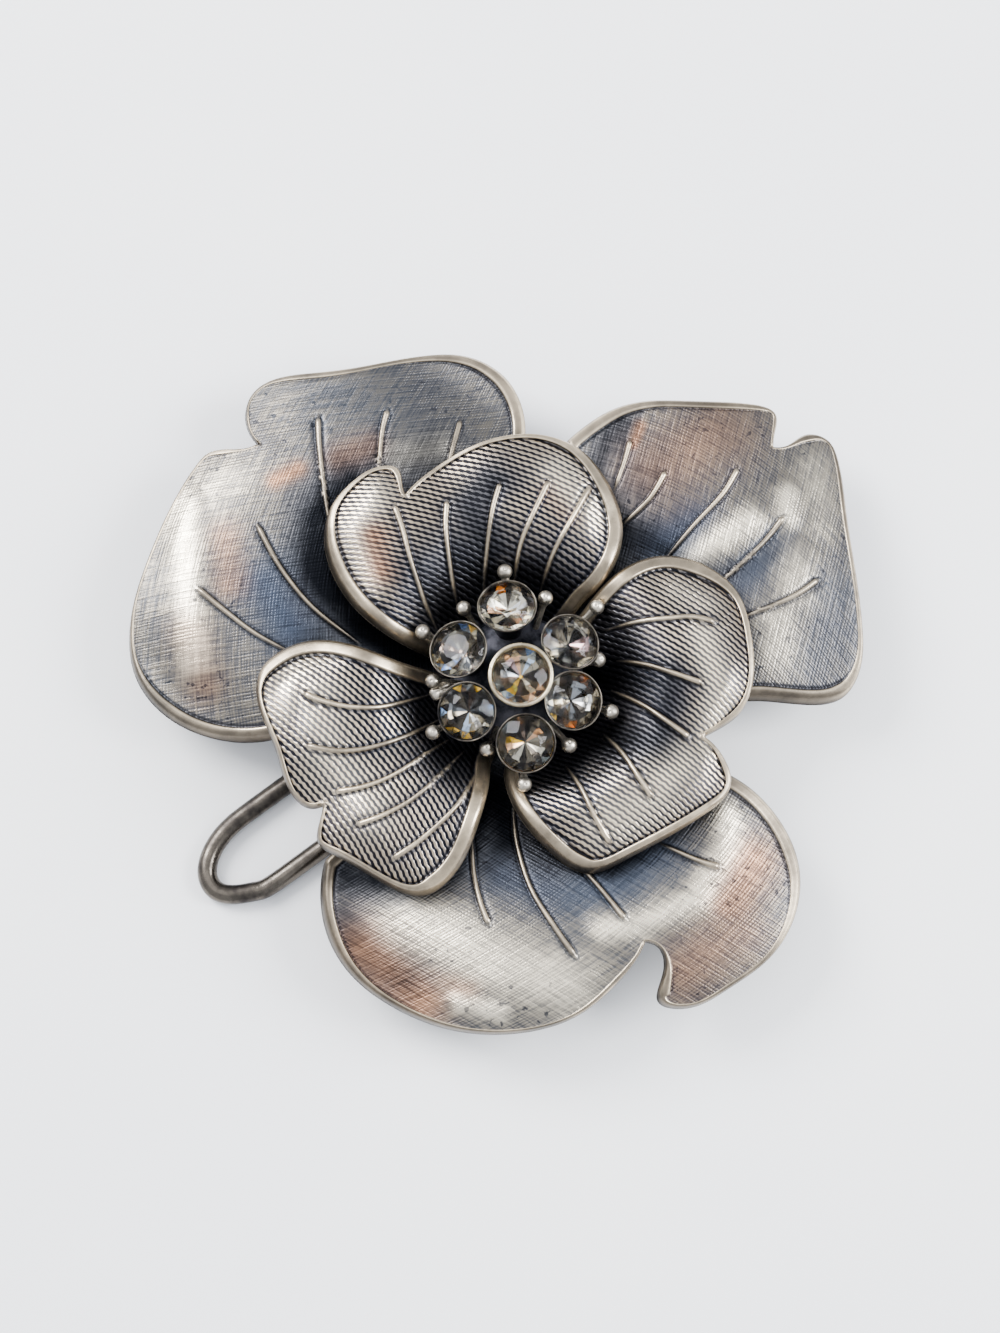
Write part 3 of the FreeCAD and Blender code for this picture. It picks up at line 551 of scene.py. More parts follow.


# Each petal: the direction of its axis, its raised veins from tip to root, the turn of its
# engraving, and its finish as brush strokes (points, half width, strength), all in its own axes.
# The strokes paint patina and copper tones, polished metal with painted highlights, and painted
# shade beside and under the inner petals and the stones.
PETALS = {
    "outer_petal_upper_left": (107, [
        [(31, -9.4), (28.7, -6.7), (24.4, -2.3), (21, 0.5)],
        [(26, -14), (24.7, -11.3), (21.5, -6.5)],
        [(19.8, -17.6), (18.2, -13.9), (16.5, -10)],
        [(29.1, 2.8), (24.6, 4.9), (19.8, 6.1), (14.5, 6.1)],
        [(29.9, 11.2), (26.2, 11.4), (22.5, 11.4), (18.5, 10.8)]], 45, {
        "polish_and_highlight": [([(36.5, 5), (33.7, 8.5), (29.5, 13), (26, 17)], 1.5, 1.0),
                 ([(22.3, -10.8), (19.5, -14)], 1.5, 0.8), ([(34, 0), (35.5, 3)], 2.2, 0.35)],
        "patina_and_shade": [([(9, 4), (15, 4.7), (19, 4), (22.5, 2.5), (24.7, -1.5), (24.2, -6)], 3.5, 1.0),
                 ([(24.2, -6), (22.5, -10), (19.5, -13)], 3.3, 0.8), ([(14, 9), (18, 8.5)], 2.6, 0.7)],
        "blue": [([(25, 7), (20.5, 9)], 3.4, 1.0), ([(30, -12), (24, -19)], 5.0, 0.35)],
        "copper": [([(30.4, -1.8), (29.3, -4)], 0.9, 1.0), ([(26.8, -7.2), (25, -10)], 1.5, 0.6),
                   ([(31, 5.5), (28, 9)], 1.7, 0.5), ([(28, 15), (24, 18)], 1.9, 0.5)]}),
    "outer_petal_upper_right": (-2, [
        [(22.5, 13.1), (20.7, 11.6), (18.5, 10)],
        [(23.4, 8.5), (20.6, 7.2), (16.9, 6.7)],
        [(29.4, 4.8), (26.6, 3.5), (22.6, 2.6), (18.5, 1.5)],
        [(30.2, -1.7), (26.8, -2.7), (21, -3.6)],
        [(29.3, -8.6), (26.1, -8.6), (20.5, -7.4)]], 50, {
        "polish_and_highlight": [([(20.5, -0.3), (27.5, 0)], 1.2, 1.0), ([(32, 0), (30.5, -1.8)], 1.1, 0.95),
                 ([(28.5, -6), (26.5, -8.5)], 1.8, 0.55), ([(23.8, -9.5), (22, -12)], 2.0, 0.5),
                 ([(33, -4), (36, 1)], 2.0, 0.35)],
        "patina_and_shade": [([(10, 9), (14, 8.5), (17, 6), (19, 2.5), (20.3, -3), (19, -9)], 2.2, 0.85),
                 ([(17, 12), (20.5, 14.2), (23, 15)], 1.6, 0.8), ([(18, 9.5), (23, 10.5)], 2.6, 0.45),
                 ([(22.5, -3.2), (27, -4.2)], 1.1, 0.45)],
        "blue": [([(18.5, 3), (23, 3.3)], 2.4, 0.9), ([(23.5, -4.8), (28, -4)], 2.0, 0.8),
                 ([(30, -11), (25, -14.5)], 4.0, 0.5)],
        "copper": [([(24.2, 13.8), (22.5, 12.6)], 0.7, 1.0), ([(30, 9), (22.5, 9.5)], 3.8, 0.5)]}),
    "outer_petal_lower": (-109, [
        [(21.8, -9.7), (19.3, -9.8), (16.3, -9.5), (13, -8.6)],
        [(27.2, -2.9), (23.6, -4), (19.6, -4.9), (15.1, -4.8), (11.5, -4)],
        [(25.2, 2.6), (22.2, 1.5), (18.5, 0)],
        [(23.2, 12.6), (21.8, 10.7), (19.5, 8.2)]], 48, {
        "polish_and_highlight": [([(19.5, -17), (23, -12.5), (26.5, -8.5), (29.5, -4.5)], 3.0, 0.85),
                 ([(28, -14.5), (30, -11)], 1.0, 1.0),
                 ([(25.6, 0.5), (26.2, 4), (25.4, 9.6), (21.4, 13.8), (18.5, 15)], 1.3, 0.95)],
        "patina_and_shade": [([(9, -5), (12.5, -9), (14.5, -13), (14.8, -18), (12, -22)], 2.7, 1.0),
                 ([(10, -5), (14.5, -5.5)], 2.6, 1.0), ([(17, -23.5), (24, -19)], 2.8, 0.6),
                 ([(10, -1.5), (14, -2), (17.5, -1), (19.2, 3), (17.5, 8), (15, 13)], 2.5, 0.95)],
        "blue": [([(18, -7), (21.5, -2.3), (22, 3), (20.5, 7.5)], 3.0, 0.8)],
        "copper": [([(27, 12.5), (23.5, 16)], 2.4, 0.8), ([(31.5, 6.5), (29, 12)], 3.0, 0.55),
                   ([(23.5, -18), (27, -13.5)], 1.3, 0.5), ([(20, -22), (26.5, -18)], 2.8, 0.9)]}),
    "inner_petal_top": (75, [
        [(19.2, 5), (16.7, 5.1), (13.4, 5.5), (9.8, 5.6), (7.5, 5.4)],
        [(17.9, 0.1), (15.4, 1.2), (12, 2.1), (8.8, 2.7)],
        [(17.5, -5.2), (15.4, -3.6), (12.5, -1.9), (9.2, -0.2)],
        [(16.1, -9.7), (13.5, -7), (11.3, -4.8), (8.8, -3.2)],
        [(14.3, -13.3), (12.2, -10.8), (9.4, -7.4), (7.3, -5.4)]], 145.6, {
        "polish_and_highlight": [([(13, 9.5), (18, 9.5), (21, 6)], 1.5, 0.8),
                 ([(16.5, -10.5), (11.5, -12.5)], 1.8, 0.9)],
        "patina_and_shade": [([(6, -5), (9, -2), (12.5, 1), (12, 4)], 3.6, 0.75),
                 ([(12, -2), (16.5, -2), (18, -4.5)], 2.8, 0.8)],
        "copper": [([(17, 7.9), (13.5, 8.4)], 1.5, 1.0), ([(15, -9), (12, -10)], 1.2, 0.4)]}),
    "inner_petal_left": (177, [
        [(18, -9.2), (16.9, -7.5), (14.9, -5.5), (12.2, -4), (7.8, -3.4)],
        [(20.6, -4.9), (18.5, -2.9), (15.5, -1.4), (12.2, -0.7), (8.3, -0.9)],
        [(20.7, 0.2), (18, 1.4), (14.2, 2), (8.8, 1.3)],
        [(20.7, 4), (18, 4.7), (13.7, 4.8), (8.2, 3.1)],
        [(19.7, 8.6), (16.2, 8.5), (11.7, 7.6), (7.8, 5.3)]], 265.6, {
        "polish_and_highlight": [([(14.5, -11.5), (18, -12), (20.5, -9.5)], 1.9, 0.8),
                 ([(17, -8.5), (19.5, -3), (19, 4)], 2.1, 0.8)],
        "patina_and_shade": [([(5, 0), (8, 1), (10, 2)], 2.6, 0.5)]}),
    "inner_petal_right": (-55, [
        [(16.4, 10.3), (14.1, 10.1), (11.8, 9.2), (9.1, 8.1), (6.8, 7.1)],
        [(17, 4.2), (14.1, 4.3), (11.1, 4.5), (8.6, 4.5)],
        [(17.4, -1), (14.7, -0.1), (11.9, 0.9), (9.1, 1.7)],
        [(15.8, -7.7), (14.1, -6.3), (11.7, -4.2), (9.7, -2.8)],
        [(13.5, -12.9), (11.3, -11), (9.3, -8.8), (7.2, -6.8)]], -2.4, {
        "polish_and_highlight": [([(15.5, 9), (18.8, 4), (19.3, -1.5)], 1.5, 1.0), ([(12, 12.5), (15, 12)], 1.3, 0.7),
                 ([(12.5, -11.5), (16, -7), (17.5, -3)], 2.1, 1.0)],
        "patina_and_shade": [([(6, 2), (10, 3.5), (14, 3), (14.5, -2), (11, -3)], 2.8, 0.85)]}),
}


STROKES = ("polish_and_highlight", "patina_and_shade", "blue", "copper")        # the kinds of brush stroke in PETALS
MARKS = STROKES + ("rim", "vein", "lip", "groove", "curl", "reach", "line_a", "line_b")
# Colours of the two finishes, and how strongly each of their effects shows. The light colour is
# polished metal with painted highlights; depth is how dark patina and painted shade go; rim_band is
# how bright a rim stays between its bright edges.
FINISHES = {
    "inner": {"middle": (0.56, 0.45, 0.325), "light": (1.0, 0.85, 0.62),
              "dark": ((0.005, 0.006, 0.010), (0.011, 0.010, 0.012)),
              "rim_band": 0.62, "depth": -0.94, "blueness": 0.65, "warmth": 0.9, "relief": 0.00004},
    "outer": {"middle": (0.225, 0.20, 0.165), "light": (1.0, 0.89, 0.70),
              "dark": ((0.006, 0.008, 0.012), (0.013, 0.011, 0.012)),
              "rim_band": 0.30, "depth": -0.97, "blueness": 0.4, "warmth": 0.75, "relief": 0.00003}}
BLUE_TONE, COPPER_TONE, RIM_TONE = (0.054, 0.068, 0.100), (0.46, 0.235, 0.135), (0.86, 0.70, 0.49)
# the second colour here is the darkest, where patina and painted shade are deepest
THIN_PATINA, DEEPEST_PATINA_AND_SHADE = (0.15, 0.195, 0.29), (0.002, 0.0025, 0.004)


def line_waves(s, mark):
    """The two sets of fine lines as waves, a little uneven."""
    wobble = s.times(s.noise(420.0, 3.0), 0.5)
    return [s.math("SINE", s.times(s.math("ADD", mark[name], wobble), 2 * math.pi))
            for name in ("line_a", "line_b")]


def engraved_field(s, mark, worn):
    """The cut of the engraved lines, and how much bright metal shows between them."""
    wave_a, wave_b = line_waves(s, mark)
    cut = s.step(s.scaled(wave_b, 0.42, wave_a), -0.55, 0.75)
    # darker towards the flower's centre: patina, and painted shade under the stones
    shown = s.times(cut, s.step(mark["reach"], 7.5, 17.0, 0.16, 1.0))
    shown = s.times(shown, s.step(worn, 0.25, 0.7, 0.65, 1.0))
    # more bright metal shows in the strokes of polished metal and painted highlight
    return cut, s.scaled(mark["polish_and_highlight"], 0.28, shown, clamp=True)


def brushed_field(s, mark, worn, blotch):
    """The cut of the crossed brush marks, and how much bright metal shows, less small pits."""
    wave_a, wave_b = line_waves(s, mark)
    line_a, line_b = mark["line_a"], mark["line_b"]
    brushed = s.math("ADD", s.streaks(line_a, line_b, 3.2, 0.22), s.streaks(line_b, line_a, 3.2, 0.22))
    weave = s.times(s.math("ADD", wave_a, wave_b), s.step(blotch, 0.35, 0.62, 0.05, 0.24))
    cut = s.math("ADD", s.step(brushed, 0.72, 1.28), weave, clamp=True)
    shown = s.scaled(cut, 0.62, 0.30)
    # darker towards the flower's centre: patina, and painted shade under the inner petals
    shown = s.times(shown, s.step(mark["reach"], 10.0, 25.0, 0.22, 1.0))
    shown = s.times(shown, s.step(worn, 0.25, 0.7, 0.75, 1.0))
    # more bright metal shows in the strokes of polished metal and painted highlight
    shown = s.scaled(mark["polish_and_highlight"], 0.36, shown, clamp=True)
    pits = s.times(s.step(s.noise(1300.0, 2.0, 0.5), 0.63, 0.70),
                   s.step(s.noise(120.0, 2.0), 0.42, 0.58, 0.0, 0.75))
    return cut, s.times(shown, s.math("SUBTRACT", 1.0, pits))


def polish_highlight_and_shade(s, mark, patina_and_shade_amount, band):
    """How bright the raised rims and veins are: scuffed, brightest along the rim's edges with wear and
    painted highlights, darker where they curl away (patina and painted shade), and darker in the patina
    and painted shade around the inner parts.
    """
    scuff = s.times(s.step(s.noise(900.0, 5.0, 0.7), 0.3, 0.62, 0.70, 1.0),
                    s.step(s.noise(150.0, 3.0, 0.6), 0.36, 0.62, 0.50, 1.0))
    rim = s.times(mark["rim"], s.scaled(mark["lip"], 1 - band, band))
    polish_with_painted_light = s.times(s.math("MAXIMUM", rim, mark["vein"]), scuff)
    # darker where the edge curls away: patina and painted shade
    polish_with_painted_light = s.times(polish_with_painted_light, s.scaled(mark["curl"], -0.92, 1.0, clamp=True))
    return s.times(polish_with_painted_light, s.scaled(patina_and_shade_amount, -0.55, 1.0, clamp=True))


def silver_material(layer):
    """Antiqued silver plate: dark patina in the hollows, polished rims, veins and swells, painted
    highlights on the swells and rim edges, and painted shade beside and under the inner parts.
    """
    s, look = Shader(layer + "_silver"), FINISHES[layer]
    mark = {name: s.attribute(name) for name in MARKS}
    worn, blotch, fine = s.noise(260.0, 5.0, 0.6), s.noise(75.0, 3.0, 0.5), s.noise(2600.0, 4.0, 0.6)
    plain = s.math("MAXIMUM", mark["rim"], mark["vein"])
    field = s.math("SUBTRACT", 1.0, plain, clamp=True)
    if layer == "inner":
        cut, shown = engraved_field(s, mark, worn)
    else:
        cut, shown = brushed_field(s, mark, worn, blotch)
    # patina in the hollows, and painted shade beside and under the inner petals and the stones
    patina_and_shade_amount = s.times(mark["patina_and_shade"], s.step(worn, 0.1, 0.9, 1.15, 0.9), clamp=True)
    shown = s.times(shown, s.scaled(patina_and_shade_amount, look["depth"], 1.0, clamp=True))
    dark_line = s.times(mark["groove"], s.step(worn, 0.2, 0.8, 1.0, 0.7))
    shown = s.times(shown, s.math("SUBTRACT", 1.0, dark_line, clamp=True))
    polish_with_painted_light = polish_highlight_and_shade(s, mark, patina_and_shade_amount, look["rim_band"])
    total = s.math("MAXIMUM", s.times(shown, field), polish_with_painted_light, clamp=True)
    bright = s.mix(s.step(blotch, 0.35, 0.65), look["middle"], tuple(c * 0.80 for c in look["middle"]))
    bright = s.mix(mark["blue"], bright, BLUE_TONE)
    # polished metal and painted highlights take the light colour
    bright = s.mix(s.times(mark["polish_and_highlight"], s.step(worn, 0.2, 0.75, 0.8, 1.0)), bright, look["light"])
    # thin patina looks blue; where it's worn away the metal is warm
    bright = s.mix(s.step(total, 0.12, 0.8, look["blueness"], 0.0), bright, THIN_PATINA)
    bright = s.mix(s.times(mark["copper"], s.step(worn, 0.2, 0.7, 0.7, 1.0)), bright, COPPER_TONE)
    bright = s.mix(s.times(plain, look["warmth"]), bright, RIM_TONE)
    # the darkest colour goes where patina and painted shade are strongest
    dark = s.mix(patina_and_shade_amount, s.mix(s.step(blotch, 0.4, 0.6), *look["dark"]), DEEPEST_PATINA_AND_SHADE)
    rough = s.step(total, 0.0, 1.0, 0.38, 0.29)
    rough = s.math("SUBTRACT", rough, s.times(mark["polish_and_highlight"], 0.06))
    rough = s.math("ADD", rough, s.scaled(fine, 0.12, -0.06))
    normal = s.bump(s.times(cut, field), look["relief"], 0.9)
    normal = s.bump(fine, 0.00001, 0.8, normal)
    normal = s.bump(worn, 0.00005, 0.5, normal)
    return s.finish(Base_Color=s.mix(total, dark, bright), Metallic=0.96, Roughness=rough,
                    Normal=normal)


def build_petal(node, material):
    """Detailed upper face, a coarser underside and the wall that joins them at the edge."""
    petal = Petal(node)
    uv, faces = petal.triangulate(True)
    _, index, distance = petal.inside(uv)
    z, masks = petal_top(petal, uv, index, distance)
    low_uv, low_faces = petal.triangulate(False)
    low_z = petal.sheet(low_uv)
    # both sheets begin with the outline's points, so the wall's rings run from one to the other
    count = len(petal.loop)
    parts = [petal.to_row(uv[:, 0], uv[:, 1], z)]
    for k in range(1, WALL_STEPS):
        t = k / WALL_STEPS
        ring = petal.loop + petal.inward * (WALL_TUCK * math.sin(math.pi * t))
        parts.append(petal.to_row(ring[:, 0], ring[:, 1], z[:count] * (1 - t) + low_z[:count] * t))
    parts.append(petal.to_row(low_uv[:, 0], low_uv[:, 1], low_z))
    starts = np.concatenate([[0], np.cumsum([len(p) for p in parts[:-1]])]).tolist()
    all_faces = orient_up(faces, uv)
    all_faces += [tuple(starts[-1] + i for i in reversed(f)) for f in orient_up(low_faces, low_uv)]
    area = loop_area(petal.loop)
    for a, b in zip(starts[:-1], starts[1:]):
        for i in range(count):
            j = (i + 1) % count
            quad = (a + i, b + i, b + j, a + j)
            all_faces.append(quad if area > 0 else quad[::-1])
    everything = np.vstack(parts)
    obj = new_object("skin_" + node, everything, all_faces)

    def paint(name, values, elsewhere=0.0):
        """An attribute of the upper face, with one value for the wall and the underside."""
        rest = np.full(len(everything) - len(uv), elsewhere)
        float_attribute(obj, name, np.concatenate([values, rest]))

    for name, values in masks.items():
        # the wall and underside count as rim and as curled over, which darkens them: patina and painted
        # shade
        paint(name, values, {"rim": 1.0, "curl": 0.7}.get(name, 0.0))
    for name, values in zip(("line_a", "line_b"), line_phases(petal, uv)):
        paint(name, values)
    paint("reach", np.hypot(uv[:, 0], uv[:, 1]), 25.0)
    for kind in STROKES:
        paint(kind, petal.tone(kind, uv))
    finish_piece(obj, material, "antique_silver", node)


def loop_area(loop):
    """Signed area of a closed loop: positive where it runs anticlockwise."""
    x, y = loop[:, 0], loop[:, 1]
    return 0.5 * np.sum(x * np.roll(y, -1) - np.roll(x, -1) * y)


def orient_up(faces, uv):
    """The faces, each turned so that it faces up."""
    out = []
    for f in faces:
        (ax, ay), (bx, by), (cx, cy) = (uv[i] for i in f[:3])
        up = (bx - ax) * (cy - ay) - (by - ay) * (cx - ax) > 0
        out.append(tuple(f) if up else tuple(reversed(f)))
    return out


SILVER = {layer: silver_material(layer) for layer in ("outer", "inner")}
for petal_name in PETALS:
    build_petal(petal_name, SILVER[petal_name.split("_")[0]])


# ------------------------------------------------------------------ crystals
def stone_axis(node):
    """Girdle centre, axis, radius and crown height of a cut stone, in mm, from its CAD node."""
    verts, tris = cad_arrays(node)
    a, b, c = (verts[tris[:, k]] for k in range(3))
    normal = np.cross(b - a, c - a)
    size = np.linalg.norm(normal, axis=1)
    unit = normal / np.maximum(1e-12, size)[:, None]
    best = None
    for k in np.argsort(-size)[:60]:
        if unit[k][2] < 0.8:
            continue
        same = size[(unit @ unit[k]) > 0.9995].sum()
        if best is None or same > best[0]:
            best = (same, unit[k])
    axis = best[1]
    mean = verts.mean(0)
    along = (verts - mean) @ axis
    radial = np.linalg.norm((verts - mean) - along[:, None] * axis, axis=1)
    girdle = verts[radial > radial.max() * 0.97]
    centre = girdle.mean(0)
    return centre, axis, radial.max(), along.max() - (centre - mean) @ axis


def frame_axes(axis):
    """Two directions square to an axis, and the axis itself."""
    axis = Vector(axis).normalized()
    side = Vector((1, 0, 0)).cross(axis).normalized()
    return np.array(side), np.array(axis.cross(side)), np.array(axis)


def stone_meshes(radius, crown, turn):
    """Cut stone about its own axis: faceted crown over a pavilion of narrow foiled wedges."""
    n, fan = 8, 16

    def ring(r, z, shift, count=n):
        width = 2 * math.pi / count
        return [(r * math.cos(turn + shift + k * width), r * math.sin(turn + shift + k * width), z)
                for k in range(count)]

    step = 2 * math.pi / n
    girdle_r, girdle_z = radius * 0.985, 0.10
    crown_verts = (ring(radius * 0.50, crown, 0) + ring(radius * 0.79, crown * 0.56, step / 2)
                   + ring(girdle_r, girdle_z, 0, fan))
    t, m, g = 0, n, 2 * n
    faces = [tuple(range(n))]
    for k in range(n):
        k1 = (k + 1) % n
        faces.append((t + k, m + k, t + k1))                          # star facets
        faces.append((t + k1, m + k, g + (2 * k + 2) % fan, m + k1))  # kite facets
        faces.append((m + k, g + 2 * k, g + 2 * k + 1))               # girdle facets
        faces.append((m + k, g + 2 * k + 1, g + (2 * k + 2) % fan))
    wedge = 2 * math.pi / fan
    pav_verts = (ring(girdle_r, -girdle_z, 0, fan) + ring(radius * 0.60, -radius * 0.34, wedge / 2, fan)
                 + [(0, 0, -radius * 0.66)])
    p, q, c = 0, fan, 2 * fan
    pav = []
    for k in range(fan):
        k1 = (k + 1) % fan
        pav.append((q + k, p + k1, p + k))
        pav.append((q + k, q + k1, p + k1))
        pav.append((q + k, c, q + k1))
    return crown_verts, faces, pav_verts, pav


# painted reflections: each of the foil's faces gets one of these brightnesses, standing in for what it
# reflects
PAINTED_FOIL_REFLECTIONS = [(0.80, 0.76, 0.64), (0.40, 0.36, 0.28), (0.20, 0.175, 0.135), (0.08, 0.07, 0.055),
               (0.03, 0.026, 0.022), (0.012, 0.011, 0.01), (0.28, 0.30, 0.33), (0.16, 0.115, 0.09)]


def add_stone(node, turn, shade, flashes):
    """One crystal; shade scales the painted reflections in its foil's faces, flashes paint wedges with
    painted glints and fire as (tier, wedge, colour).
    """
    centre, axis, radius, height = stone_axis(node)
    side, up, axis = frame_axes(axis)
    crown_verts, crown_faces, pav_verts, pav_faces = stone_meshes(radius, height, turn)

    def placed(points):
        return [tuple(centre + side * x + up * y + axis * z) for x, y, z in points]

    fan, shift = 16, len(crown_verts)
    verts = placed(crown_verts) + placed(pav_verts)
    faces = list(crown_faces) + [tuple(i + shift for i in f) for f in pav_faces]
    for k in range(fan):
        j = (k + 1) % fan
        faces.append((fan + j, fan + k, shift + k, shift + j))
    obj = new_object("cut_" + node, verts, faces, smooth=False)
    mesh = obj.data
    mesh.materials.append(glass)
    mesh.materials.append(foil)
    first_pav = len(crown_faces)
    # every pavilion face gets a painted reflection, and some a painted glint or flash of fire
    painted_reflection = np.ones((len(mesh.polygons), 3))
    previous = None
    for k, polygon in enumerate(mesh.polygons):
        if first_pav <= k < first_pav + len(pav_faces):
            polygon.material_index = 1
            choice = random.choice([c for c in PAINTED_FOIL_REFLECTIONS if c is not previous])
            previous = choice
            painted_reflection[k] = np.array(choice) * shade
    for tier, wedge, colour in flashes:
        painted_reflection[first_pav + 3 * (wedge % fan) + tier] = colour
    layer = mesh.attributes.new("facet_reflection", "FLOAT_COLOR", "CORNER")
    values = np.ones((len(mesh.loops), 4), np.float32)
    for k, polygon in enumerate(mesh.polygons):
        for loop in polygon.loop_indices:
            values[loop, :3] = painted_reflection[k]
    layer.data.foreach_set("color", values.reshape(-1))
    bevel = obj.modifiers.new("edge", "BEVEL")
    bevel.width = 0.00003
    bevel.segments = 1
    bevel.limit_method = "ANGLE"
    bevel.angle_limit = math.radians(8)
    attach(obj, "root")
    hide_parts(node)
    return centre, axis


def glass_material():
    s = Shader("crystal_glass")
    fine = s.noise(1500.0, 3.0)
    return s.finish(Base_Color=(0.98, 0.97, 0.94), Roughness=s.step(fine, 0.3, 0.8, 0.0, 0.02),
                    Transmission_Weight=1.0, IOR=1.54, Specular_Tint=(0.2, 0.2, 0.22))


def foil_material():
    s = Shader("crystal_foil")
    # the foil's colour is the painted reflection of each of its faces, darker in cloudy patches
    painted_reflection = s.node("ShaderNodeAttribute", attribute_name="facet_reflection").outputs["Color"]
    cloud = s.noise(700.0, 3.0)
    colour = s.mix(s.step(cloud, 0.35, 0.7, 0.0, 0.3), painted_reflection, (0.05, 0.045, 0.04))
    return s.finish(Base_Color=colour, Metallic=1.0, Roughness=0.14)


glass, foil = glass_material(), foil_material()
# colours of painted glints and flashes of fire in the stones
ORANGE, BLUE, GOLD, WHITE = (1.0, 0.30, 0.02), (0.25, 0.45, 1.0), (1.0, 0.62, 0.05), (1.0, 1.0, 1.0)
MAUVE, ICE, AMBER = (0.52, 0.36, 0.36), (0.62, 0.78, 1.0), (0.80, 0.48, 0.28)
OUTER, MIDDLE, INNER = 0, 1, 2      # tiers of wedges, from the girdle to the point
# Each stone: turn of its cut, brightness of its painted foil reflections and its painted flashes of
# glint and fire.
STONES = {
    "stone_1": (0.10, 1.0, [(OUTER, 6, ORANGE), (MIDDLE, 6, ORANGE), (INNER, 2, WHITE),
                            (OUTER, 13, WHITE), (MIDDLE, 14, WHITE), (INNER, 9, AMBER)]),
    "stone_2": (0.42, 1.05, [(INNER, 0, MAUVE), (INNER, 1, MAUVE), (MIDDLE, 12, WHITE),
                             (OUTER, 5, WHITE), (MIDDLE, 7, ICE)]),
    "stone_3": (0.25, 0.95, [(OUTER, 13, ORANGE), (MIDDLE, 13, ORANGE), (INNER, 0, WHITE),
                             (INNER, 1, WHITE), (OUTER, 11, GOLD), (MIDDLE, 3, AMBER)]),
    "stone_4": (0.05, 0.70, [(INNER, 3, AMBER), (INNER, 9, GOLD), (INNER, 10, AMBER),
                             (MIDDLE, 6, AMBER), (OUTER, 8, ICE)]),
    "stone_5": (0.33, 0.85, [(OUTER, 4, GOLD), (OUTER, 6, GOLD), (MIDDLE, 1, BLUE),
                             (OUTER, 1, ICE), (INNER, 12, ICE), (OUTER, 9, ICE), (INNER, 14, WHITE)]),
    "stone_6": (0.18, 0.85, [(OUTER, 5, BLUE), (OUTER, 4, GOLD), (MIDDLE, 4, ICE),
                             (INNER, 11, WHITE), (MIDDLE, 11, WHITE)]),
    "stone_centre": (0.0, 0.95, [(INNER, 6, AMBER), (INNER, 7, MAUVE), (MIDDLE, 7, AMBER),
                                 (MIDDLE, 4, ICE), (INNER, 4, ICE), (OUTER, 5, BLUE),
                                 (INNER, 12, GOLD)]),
}
SEATS = {name: add_stone(name, *look) for name, look in STONES.items()}


# ------------------------------------------------------------------ cups and bezel
def lathe(name, centre, axis, profile, segments=96, wobble=0.0):
    side, up, axis = frame_axes(axis)
    verts, faces = [], []
    for k in range(segments):
        a = 2 * math.pi * k / segments
        sway = 1 + wobble * math.sin(3 * a + 1.0) + wobble * 0.6 * math.sin(7 * a)
        out = side * math.cos(a) + up * math.sin(a)
        for r, z in profile:
            verts.append(tuple(centre + out * r * sway + axis * z))
    n = len(profile)
    for k in range(segments):
        a, b = k * n, ((k + 1) % segments) * n
        for i in range(n - 1):
            faces.append((a + i, b + i, b + i + 1, a + i + 1))
    return new_object(name, verts, faces)


def metal(name, colour, dark, rough=0.3, amount=0.5, scale=500.0, dent=0.00002):
    """Antiqued metal: a bright colour with dark patina in its hollows."""
    s = Shader(name)
    patch = s.noise(scale, 5.0, 0.65)
    fine = s.noise(scale * 5, 4.0)
    mask = s.step(patch, 0.5 - amount * 0.3, 0.5 + amount * 0.25)
    colour = s.mix(mask, dark, colour)
    roughness = s.math("ADD", s.step(mask, 0, 1, rough + 0.2, rough), s.scaled(fine, 0.1, -0.05))
    normal = s.bump(patch, dent, 0.7)
    normal = s.bump(fine, dent * 0.25, 0.7, normal)
    return s.finish(Base_Color=colour, Metallic=0.95, Roughness=roughness, Normal=normal)


cup_metal = metal("cup_metal", (0.12, 0.105, 0.085), (0.008, 0.008, 0.010), 0.28, 0.7)
bezel_metal = metal("bezel_metal", (0.62, 0.53, 0.37), (0.24, 0.20, 0.14), 0.26, 0.5)
bead_metal = metal("bead_metal", (0.66, 0.60, 0.50), (0.20, 0.18, 0.155), 0.25, 0.6, 900.0, 0.00003)
wire_metal = metal("wire_metal", (0.12, 0.104, 0.086), (0.022, 0.019, 0.018), 0.20, 0.5, 160.0)
black_metal = metal("black_metal", (0.045, 0.045, 0.055), (0.006, 0.007, 0.010), 0.42, 0.6, 600.0)
plate_metal = metal("plate_metal", (0.50, 0.48, 0.44), (0.16, 0.15, 0.14), 0.38, 0.7, 200.0)

for k in range(1, 7):
    centre, axis = SEATS["stone_%d" % k]
    lip = [(0.6, -2.1), (1.36, -2.4), (1.42, -2.38), (2.0, -1.5), (2.76, -0.16), (2.83, 0.0),
           (2.85, 0.10), (2.83, 0.16), (2.77, 0.18), (2.70, 0.13), (2.67, 0.02), (2.5, -0.25)]
    cup = lathe("cup_ring_%d" % k, centre, axis, lip, wobble=0.003)
    finish_piece(cup, cup_metal, "cup_metal", "stone_cup_%d" % k)

centre, axis = SEATS["stone_centre"]
band = [(0.6, -2.1), (1.9, -2.4), (2.0, -2.36), (2.6, -1.2), (3.04, -0.2), (3.09, 0.0), (3.1, 0.16),
        (3.05, 0.3), (2.95, 0.36), (2.84, 0.35), (2.75, 0.27), (2.69, 0.12), (2.66, -0.05), (2.5, -0.3)]
finish_piece(lathe("bezel_ring", centre, axis, band, 128, 0.002), bezel_metal, "pale_bezel",
             "centre_bezel")


# ------------------------------------------------------------------ stamens
BALL_RADIUS, POST_RADIUS = 0.73, 0.30       # of a stamen, mm


